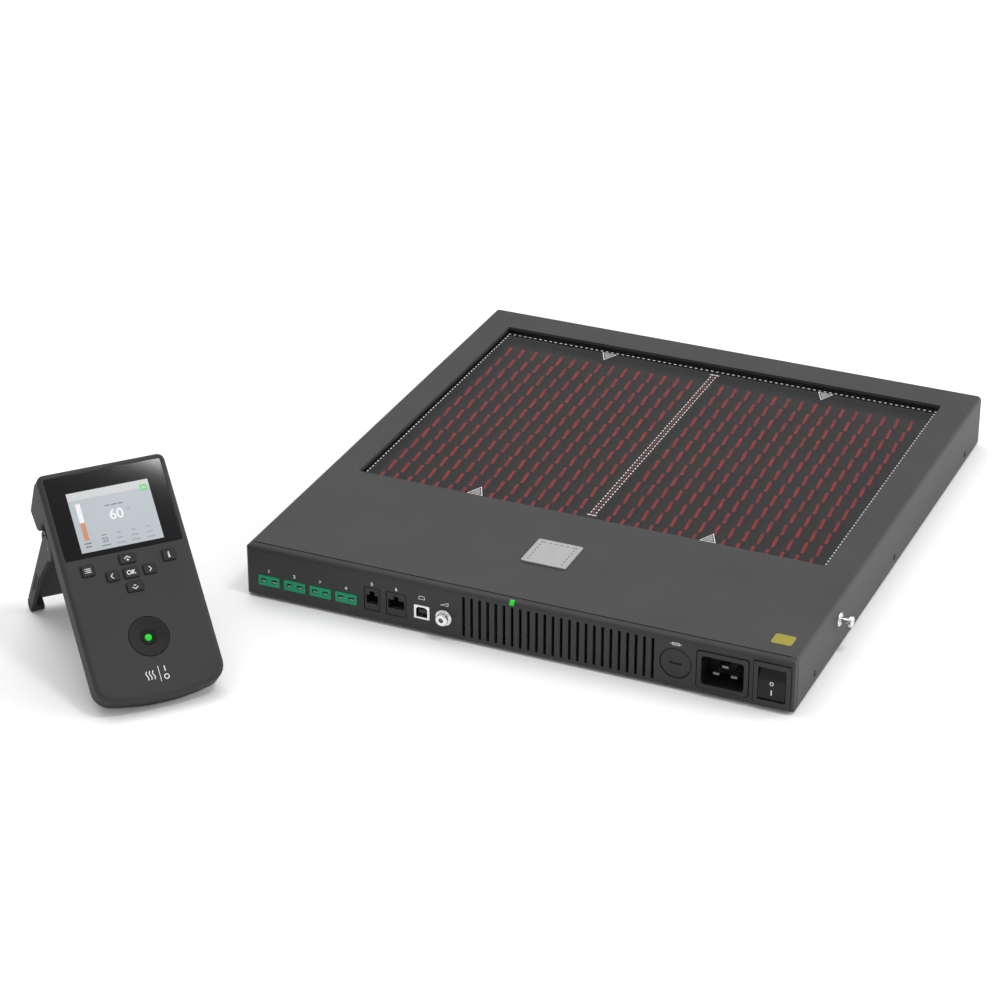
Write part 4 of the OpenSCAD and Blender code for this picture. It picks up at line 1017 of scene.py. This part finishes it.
@dataclass
class HeatingWindow:
    """Glass, printed marks and the glowing ribbons below."""

    paints: Paintbox
    lap: float = 8.0 * MM
    dash_pitch: float = 4.5 * MM
    dash_size: tuple[float, float, float] = (2.0 * MM, 0.85 * MM, 0.06 * MM)
    print_inset: Point = (2.8 * MM, 5.0 * MM)
    middle_gap: float = 4.0 * MM
    middle_ends: Point = (11.7 * MM, 11.5 * MM)
    cross_size: Point = (8.0 * MM, 0.6 * MM)
    pointer_size: Point = (11.5 * MM, 12.0 * MM)
    pointer_line: float = 0.55 * MM
    pointer_inset: float = 7.5 * MM
    pointer_core: float = 0.7
    strip_size: Point = (2.3 * MM, 0.4 * MM)
    strip_dash: float = 16.2 * MM
    strip_pitch: float = 20.0 * MM
    strip_start: float = 13.6 * MM
    strip_front: float = 1.3 * MM
    strip_rows: int = 13
    strip_columns: int = 15
    strip_lean: float = 0.1
    strip_lift: float = 2.0 * MM
    strip_shift: float = -2.5 * MM
    web_thick: float = 0.4 * MM

    def build(self) -> None:
        """Prints the glass and hangs the ribbons."""
        self._dashes()
        self._pointers()
        for node in ("ribbons_left", "ribbons_right"):
            self._ribbons(node)

    def _opening(self) -> tuple[Vector, Vector]:
        """Corners of the window on the glass."""
        low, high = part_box("glass_gasket")
        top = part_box("heater_glass")[1].z
        lap = self.lap
        return Vector((low.x + lap, low.y + lap, top)), Vector((high.x - lap, high.y - lap, top))

    def _broken(self, name: str, lines: Sequence[Sequence[Vector]], ink: Ink) -> None:
        """Prints broken lines on the glass.

        Args:
            name: The piece's name.
            lines: Each line's ends.
            ink: Their ink.
        """
        print_dashes(name, lines, self.dash_pitch, self.dash_size, self.paints.ink(ink))

    def _dashes(self) -> None:
        """Prints the broken border, the two broken lines between the zones and a red one between those."""
        low, high = self._opening()
        left, right = low.x + self.print_inset[0], high.x - self.print_inset[0]
        front, back = low.y + self.print_inset[1], high.y - self.print_inset[1]
        z, mid = low.z, (low.x + high.x) / 2
        corners = [(left, front), (left, back), (right, back), (right, front), (left, front)]
        lines = [[Vector((*a, z)), Vector((*b, z))] for a, b in zip(corners, corners[1:])]
        near, far = low.y + self.middle_ends[0], high.y - self.middle_ends[1]
        for s in (-1, 1):
            x = mid + s * self.middle_gap / 2
            lines.append([Vector((x, near, z)), Vector((x, far, z))])
        self._broken("glass_broken_lines", lines, Ink.WHITE)
        self._broken("glass_red_line", [[Vector((mid, near, z)), Vector((mid, far, z))]], Ink.RED)
        sheet = PrintSheet("glass_cross_marks", Face(Vector((mid, 0, z)), X, Y, Z))
        for y in (near, far):
            sheet.bar(0, y, *self.cross_size, Ink.WHITE)
        sheet.lay(self.paints)

    def _pointers(self) -> None:
        """Prints a plain outlined pointer at the front and back of each zone."""
        low, high = self._opening()
        mid = (low.x + high.x) / 2
        sheet = PrintSheet("glass_pointers", Face(Vector((mid, 0, low.z)), X, Y, Z))
        half, tall = self.pointer_size[0] / 2, self.pointer_size[1]
        for x in ((low.x - mid) / 2, (high.x - mid) / 2):
            for base, way in ((low.y + self.pointer_inset, 1), (high.y - self.pointer_inset, -1)):
                points = [(x - half * way, base), (x + half * way, base), (x, base + tall * way)]
                sheet.stroke(points, self.pointer_line, Ink.WHITE, closed=True)
                middle = sum((Vector(p) for p in points), Vector((0.0, 0.0))) / 3
                core = [tuple(middle.lerp(Vector(p), self.pointer_core)) for p in points]
                sheet.shape(core, Ink.GREY)
        sheet.lay(self.paints)

    def _blocks(self, name: str, low: Vector, high: Vector, rows: int, turn: float, paint: Material) -> Object:
        """Sets one block per column and row, all of one size.

        Args:
            name: The piece's name.
            low: Low corner of the first block.
            high: High corner of the last block in the first row.
            rows: How many rows follow each other at the strips' pitch.
            turn: Turn of each block in radians.
            paint: Their material.

        Returns:
            The piece.
        """
        width = self.strip_size[0] if turn else self.web_thick
        spread = Vector((high.x - low.x - self.strip_size[0], (rows - 1) * self.strip_pitch, 0))
        mesh = block_recipe().run(
            bpy.data.meshes.new(name),
            paint,
            Columns=self.strip_columns,
            Rows=rows,
            Spread_X=spread.x,
            Spread_Y=spread.y,
            Width=width,
            Length=high.y - low.y,
            Height=high.z - low.z,
            Turn=turn,
        )
        mesh.transform(Matrix.Translation((low + high + Vector((0, spread.y, 0))) / 2))
        return link_piece(name, mesh)

    def _ribbons(self, node: str) -> None:
        """Replaces one zone's folded strips by dark webs that carry glowing crests.

        Args:
            node: The solid of that zone's strips.
        """
        low, high = (corner + Vector((self.strip_shift, 0, 0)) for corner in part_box(node))
        crest, middle = high.z + self.strip_lift, low.y + self.strip_start
        end = Vector((high.x, middle + (self.strip_rows - 1) * self.strip_pitch + self.strip_dash / 2, crest))
        web = self._blocks(node + "_webs", low, end, 1, 0.0, self.paints.ink(Ink.COLD))
        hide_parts(node)
        hot, top = self.paints.slot(Slot.RIBBON), crest + self.strip_size[1]
        for name, rows, front, back in (
            ("_front", 1, low.y, low.y + self.strip_front),
            ("_crests", self.strip_rows, middle - self.strip_dash / 2, middle + self.strip_dash / 2),
        ):
            corner, end = Vector((low.x, front, crest)), Vector((high.x, back, top))
            self._blocks(node + name, corner, end, rows, self.strip_lean, hot)


class Glyph(NamedTuple):
    """A line above a fitting: the fitting, the gap, the line's width and its points, in millimetres."""

    node: str
    gap: float
    width: float
    closed: bool
    path: tuple[Point, ...]


USB_OUTLINE = ((-2.2, -1.1), (2.2, -1.1), (2.2, 0.6), (1.5, 1.3), (-1.5, 1.3), (-2.2, 0.6))
GLYPHS = (
    Glyph("usb_socket", 4.45, 0.4, True, USB_OUTLINE),
    Glyph("pedal_jack", 3.8, 0.4, True, ((-3, -1), (3, -1), (3, 1.4))),
    Glyph("fuse_cap", 3.5, 0.35, False, ((-4.2, 0), (4.2, 0))),
    Glyph("fuse_cap", 3.5, 0.35, True, ((-2.6, -0.9), (2.6, -0.9), (2.6, 0.9), (-2.6, 0.9))),
)
LET_IN = {"mains_inlet": 2.0 * MM, "switch_frame": 0.8 * MM, "narrow_jack": 0.3 * MM, "wide_jack": 0.3 * MM}
GREEN_SOCKETS = tuple(f"tc_socket_{number}" for number in range(1, 5))


@dataclass
class SocketRow:
    """Front panel: sockets, mains fittings and their marks."""

    paints: Paintbox
    mark_height: float = 2.5 * MM
    socket_gap: float = 2.4 * MM
    jack_gap: float = 3.2 * MM
    rocker_ring: tuple[float, float, float] = (0.0, 1.2 * MM, 1.15 * MM)
    rocker_line: float = 0.5 * MM
    rocker_tall: float = 1.15
    rocker_bar: Bar = Bar(0, -5.8, 0.8, 4.0)
    joint_width: float = 0.6 * MM
    joint_shade: float = 0.5 * MM

    def build(self) -> None:
        """Softens the fittings, prints the marks and paints shadow lines round the joints."""
        for node, width, slot in (
            *((node, 0.3, Slot.GREEN) for node in GREEN_SOCKETS),
            ("mains_inlet", 0.4, Slot.BLACK),
            ("switch_frame", 0.35, Slot.BLACK),
            ("usb_socket", 0.2, Slot.BRIGHT),
        ):
            eased(node, width * MM, slot, self.paints)
        eased("switch_rocker", 0.4 * MM, Slot.BLACK, self.paints, Body.ROCKER.value, segments=3, crease=15.0)
        eased("fuse_cap", 0.3 * MM, Slot.BLACK, self.paints, Body.FUSE_CAP.value)
        self._marks()
        self._rocker_marks()
        self._joints()

    def _above(self, sheet: PrintSheet, node: str, gap: float) -> Point:
        """Drawing coordinates of the place above a fitting."""
        low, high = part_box(node)
        return (low.x + high.x) / 2 - sheet.face.origin.x, high.z - sheet.face.origin.z + gap

    def _face(self) -> Face:
        """The panel's front, with its origin at the foot."""
        low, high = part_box("connector_panel")
        return Face(Vector(((low.x + high.x) / 2, low.y, 0.0)), X, Z, -Y)

    def _marks(self) -> None:
        """Prints numbers and plain symbols above the sockets."""
        sheet = PrintSheet("panel_marks", self._face(), bold=0.05)
        for number, node in enumerate((*GREEN_SOCKETS, "narrow_jack", "wide_jack"), start=1):
            x, z = self._above(sheet, node, self.socket_gap if node in GREEN_SOCKETS else self.jack_gap)
            sheet.text(str(number), x, z, self.mark_height, Ink.WHITE)
        for glyph in GLYPHS:
            sheet.sketch(glyph.path, glyph.width, glyph.closed, self._above(sheet, glyph.node, glyph.gap * MM))
        sheet.lay(self.paints)

    def _joints(self) -> None:
        """Paints shadow lines round the joints between the panel and the fittings let into it, reaching further
        below and on the left, where the shadow falls.
        """
        sheet = PrintSheet("panel_joint_shadows", self._face())
        for node, corner in LET_IN.items():
            a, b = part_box(node)
            # Painted shadow: the frame reaches further out below and on the left.
            a -= (X + Z) * self.joint_shade
            middle, size = (a + b) / 2 - sheet.face.origin, b - a
            sheet.frame(middle.x, middle.z, size.x, size.z, corner, self.joint_width, Ink.SEAM)
        sheet.lay(self.paints)

    def _rocker_marks(self) -> None:
        """Prints the ring and the bar on the rocker's lower face."""
        low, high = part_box("switch_rocker")
        mid = (low + high) / 2
        sheet = PrintSheet("rocker_marks", Face(Vector((mid.x, low.y, mid.z)), X, Z, -Y))
        sheet.ring(*self.rocker_ring, self.rocker_line, Ink.WHITE, tall=self.rocker_tall)
        sheet.bars([self.rocker_bar])
        sheet.lay(self.paints, Body.ROCKER.value)


KEY_BARS: dict[str, tuple[Bar, ...]] = {
    "key_menu": (
        *(Bar(0.5, y, 3.4, LINE) for y in (-1.3, 0.0, 1.3)),
        *(Bar(-1.9, y, LINE, LINE) for y in (-1.3, 0.0, 1.3)),
    ),
    "key_info": (
        Bar(0, -0.6, 0.9, 2.4),
        Bar(-0.3, 0.35, 1.0, LINE),
        Bar(0, -1.7, 1.9, LINE),
        Bar(0, 1.6, 0.9, 0.9),
    ),
    "key_up": (Bar(0, -0.9, 1.8, LINE), Bar(0, -0.9, LINE, 1.8)),
    "key_down": (Bar(0, 0.9, 1.8, LINE),),
}
KEY_ARROWS: dict[str, tuple[Point, ...]] = {
    "key_up": ((2.1, 0.15), (0.0, 1.65), (-2.1, 0.15)),
    "key_down": ((-2.1, -0.15), (0.0, -1.65), (2.1, -0.15)),
    "key_left": ((0.375, 1.785), (-1.125, 0.0), (0.375, -1.785)),
    "key_right": ((-0.375, -1.785), (1.125, 0.0), (-0.375, 1.785)),
}
LABEL_BARS = (Bar(0, 0, 0.4, 11.0), Bar(4.4, 2.9, 0.7, 3.8))
READING_ROWS = ((-11.8, 3.0), (-19.3, 6.4), (-15.6, 4.4))
SCREEN_BARS = (
    Bar(0, 0, 58.7, 44.0, Ink.FIELD),
    Bar(0, 19.1, 58.7, 5.8, Ink.HEADER, 1),
    Bar(-24.35, 19.1, 2.4, 2.0, Ink.BLUE, 2),
    *(Bar(x, 19.1, 1.5, 1.7, Ink.BLUE, 2) for x in (17.27, 13.43)),
    Bar(25.15, 16.4, 2.8, 1.2, Ink.HEADER, 4),
    Bar(-23.35, 6.5, 3.4, 14.0, Ink.FIGURE, 1),
    Bar(-23.35, -7.0, 3.4, 13.0, Ink.ORANGE, 1),
    *(Bar(-23.35, y, w, 0.9, Ink.DARK, 1) for y, w in ((-15.7, 5.0), (-18.1, 4.0))),
    *(Bar(x, 8.6, w, 0.8, Ink.DARK, 1) for x, w in ((-3.1, 3.0), (1.5, 4.2), (6.1, 3.4))),
    *(Bar(-11.0, y, w, 0.7, Ink.DARK, 1) for y, w in READING_ROWS[:2]),
    *(Bar(-11.0 + 10.6 * k, y, w, 0.7, Ink.GREY, 1) for k in (1, 2, 3) for y, w in READING_ROWS),
)


@dataclass
class Console:
    """Desktop console: shells, screen, keys and heat button."""

    paints: Paintbox
    right: Vector
    up: Vector
    screen_layer: float = 0.02 * MM
    badge: tuple[float, ...] = (25.15 * MM, 16.4 * MM, 5.6 * MM, 4.6 * MM, 0.5 * MM)
    large_figure: tuple[float, float, float] = (1.5 * MM, 1.2 * MM, 7.4 * MM)
    small_figure: tuple[float, float, float] = (-11.0 * MM, -15.6 * MM, 3.3 * MM)
    degree_ring: tuple[float, ...] = (10.5 * MM, 3.6 * MM, 0.9 * MM, 0.35 * MM)
    ok_height: float = 3.1 * MM
    wave_start: float = -6.4 * MM
    wave_pitch: float = 2.3 * MM
    wave_sway: float = 0.6 * MM
    wave_turn: float = 1.1
    wave_step: float = 1.05 * MM
    wave_half: int = 3
    wave_line: float = 0.6 * MM
    label_ring: tuple[float, float, float] = (4.4 * MM, -2.9 * MM, 1.6 * MM)
    label_up: float = 16.4 * MM
    dish_radius: float = 14.0 * MM
    rim_width: float = 0.5 * MM
    dish_depth: float = 3.0 * MM
    rim_thick: float = 0.03 * MM
    lining: Point = (6.2 * MM, 13.7 * MM)
    lining_lift: float = 0.06 * MM
    lining_grid: tuple[int, int] = (8, 72)
    keys: tuple[str, ...] = ("key_menu", "key_up", "key_info", "key_left", "key_ok", "key_right", "key_down")

    def build(self) -> None:
        """Smooths the shells, softens the keys, prints every mark and paints shade round and in the dish."""
        for node in ("console_front_shell", "console_rear_shell"):
            eased(node, 0.0, Slot.CONSOLE, self.paints, crease=12.0)
        eased("display_window", 0.25 * MM, Slot.PANE, self.paints)
        eased("kickstand", 0.6 * MM, Slot.CONSOLE, self.paints, Body.STAND.value)
        eased("heat_button", 0.4 * MM, Slot.KEY, self.paints, Body.HEAT_BUTTON.value)
        eased("heat_light", 0.5 * MM, Slot.LAMP, self.paints, Body.HEAT_BUTTON.value, segments=3)
        for key in self.keys:
            eased(key, 0.35 * MM, Slot.KEY, self.paints, key, segments=3)
        self._screen_picture()
        self._key_marks()
        self._heat_label()
        self._dish_rim()

    def _screen_picture(self) -> None:
        """Lays the lit picture on the pane, over the screen's place."""
        pane = face_on("display_window", self.right, self.up)
        middle = sum(span("display_panel", self.up)) / 2
        face = pane.shifted(0.0, middle - pane.origin.dot(self.up))
        sheet = PrintSheet("screen_picture", face, self.screen_layer, bold=0.02)
        sheet.bars(SCREEN_BARS)
        sheet.rounded(*self.badge, Ink.BADGE, 2 * self.screen_layer)
        sheet.text("60", *self.large_figure, Ink.FIGURE, self.screen_layer)
        sheet.ring(*self.degree_ring, Ink.FIGURE)
        sheet.text("25", *self.small_figure, Ink.DARK, self.screen_layer)
        sheet.lay(self.paints)

    def _key_marks(self) -> None:
        """Prints each key's mark on its cap."""
        for key in self.keys:
            sheet = PrintSheet(key + "_mark", face_on(key, self.right, self.up), bold=0.03)
            sheet.bars(KEY_BARS.get(key, ()))
            if key in KEY_ARROWS:
                sheet.sketch(KEY_ARROWS[key], LINE)
            elif key == "key_ok":
                sheet.text("OK", 0, 0, self.ok_height, Ink.WHITE)
            sheet.lay(self.paints, key)

    def _dish_rim(self) -> None:
        """Paints a black shadow line round the rim of the dish round the heat button."""
        shell = face_on("console_front_shell", self.right, self.up)
        button = face_on("heat_button", self.right, self.up)
        place = button.origin - shell.origin
        face = shell.shifted(place.dot(self.right), place.dot(self.up))
        sheet = PrintSheet("dish_rim", face, self.rim_thick)
        # Painted shadow line along the dish rim.
        sheet.ring(0, 0, self.dish_radius + self.rim_width / 2, self.rim_width, Ink.SEAM)
        sheet.lay(self.paints)
        self._dish_lining(face)

    def _dish_lining(self, face: Face) -> None:
        """Lays a darker skin in the hollow of the dish as painted shade.

        Args:
            face: The shell's front at the middle of the dish.
        """
        ball = (self.dish_radius**2 + self.dish_depth**2) / (2 * self.dish_depth)
        floor = self.lining_lift - self.dish_depth + ball
        rings, sides = self.lining_grid
        points = []
        for k in range(rings + 1):
            r = self.lining[0] + (self.lining[1] - self.lining[0]) * k / rings
            turns = (math.tau * i / sides for i in range(sides))
            points += [(r * math.cos(t), r * math.sin(t), floor - math.sqrt(ball**2 - r**2)) for t in turns]
        quads = []
        for k in range(rings):
            for i in range(sides):
                a, b = k * sides + i, k * sides + (i + 1) % sides
                quads.append((a, a + sides, b + sides, b))
        mesh = bpy.data.meshes.new("dish_hollow_shade")
        mesh.from_pydata(points, [], quads)
        mesh.transform(face.matrix())
        mesh.shade_smooth()
        mesh = modified(mesh, "SOLIDIFY", thickness=self.lining_lift / 2)
        # Painted shade in the dish's hollow.
        mesh.materials.append(self.paints.ink(Ink.SHADE))
        link_piece("dish_hollow_shade", mesh)

    def _heat_label(self) -> None:
        """Prints a heat sign, a divider and the two switch marks below the dish."""
        shell = face_on("console_front_shell", self.right, self.up)
        low = span("console_front_shell", self.up)[0]
        face = shell.shifted(0.0, low + self.label_up - shell.origin.dot(self.up))
        sheet = PrintSheet("heat_label", face)
        steps = range(-self.wave_half, self.wave_half + 1)
        for k in (-1, 0, 1):
            x = self.wave_start + k * self.wave_pitch
            sway = [self.wave_sway * math.sin((t + self.wave_half) * self.wave_turn) for t in steps]
            wave = [(x + s, t * self.wave_step) for s, t in zip(sway, steps)]
            sheet.stroke(wave, self.wave_line, Ink.WHITE)
        sheet.bars(LABEL_BARS)
        sheet.ring(*self.label_ring, self.wave_line, Ink.WHITE)
        sheet.lay(self.paints)


def dress_solids(paints: Paintbox) -> None:
    """Gives every solid the finish of its record slot.

    Args:
        paints: Where the finishes come from.
    """
    for part in FRAME["record"]["subparts"]:
        solid = FRAME["nodes"][part["node"]]
        solid.data.materials.clear()
        solid.data.materials.append(paints.slot(Slot(part["material_slot"]), part["node"]))


def joint_axis(name: str) -> Vector:
    """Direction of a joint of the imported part."""
    return Vector(next(j["axis"] for j in FRAME["joints"] if j["name"] == name)).normalized()


def main() -> None:
    """Builds the studio and dresses every sub-assembly."""
    bpy.context.scene.view_settings.view_transform = "Standard"
    low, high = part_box("connector_panel")
    studio = Studio()
    studio.camera(Vector(((low.x + high.x) / 2, low.y, 0.0)))
    right = -joint_axis("stand_fold")
    up = (-joint_axis("key_ok_press")).cross(right)
    studio.lights(face_on("display_window", right, up))
    studio.floor()
    paints = Paintbox()
    dress_solids(paints)
    Housing(paints).build()
    HeatingWindow(paints).build()
    SocketRow(paints).build()
    Console(paints, right, up).build()


if __name__ == "__main__":
    logging.basicConfig(level=logging.INFO, format="%(name)s: %(message)s")
    main()
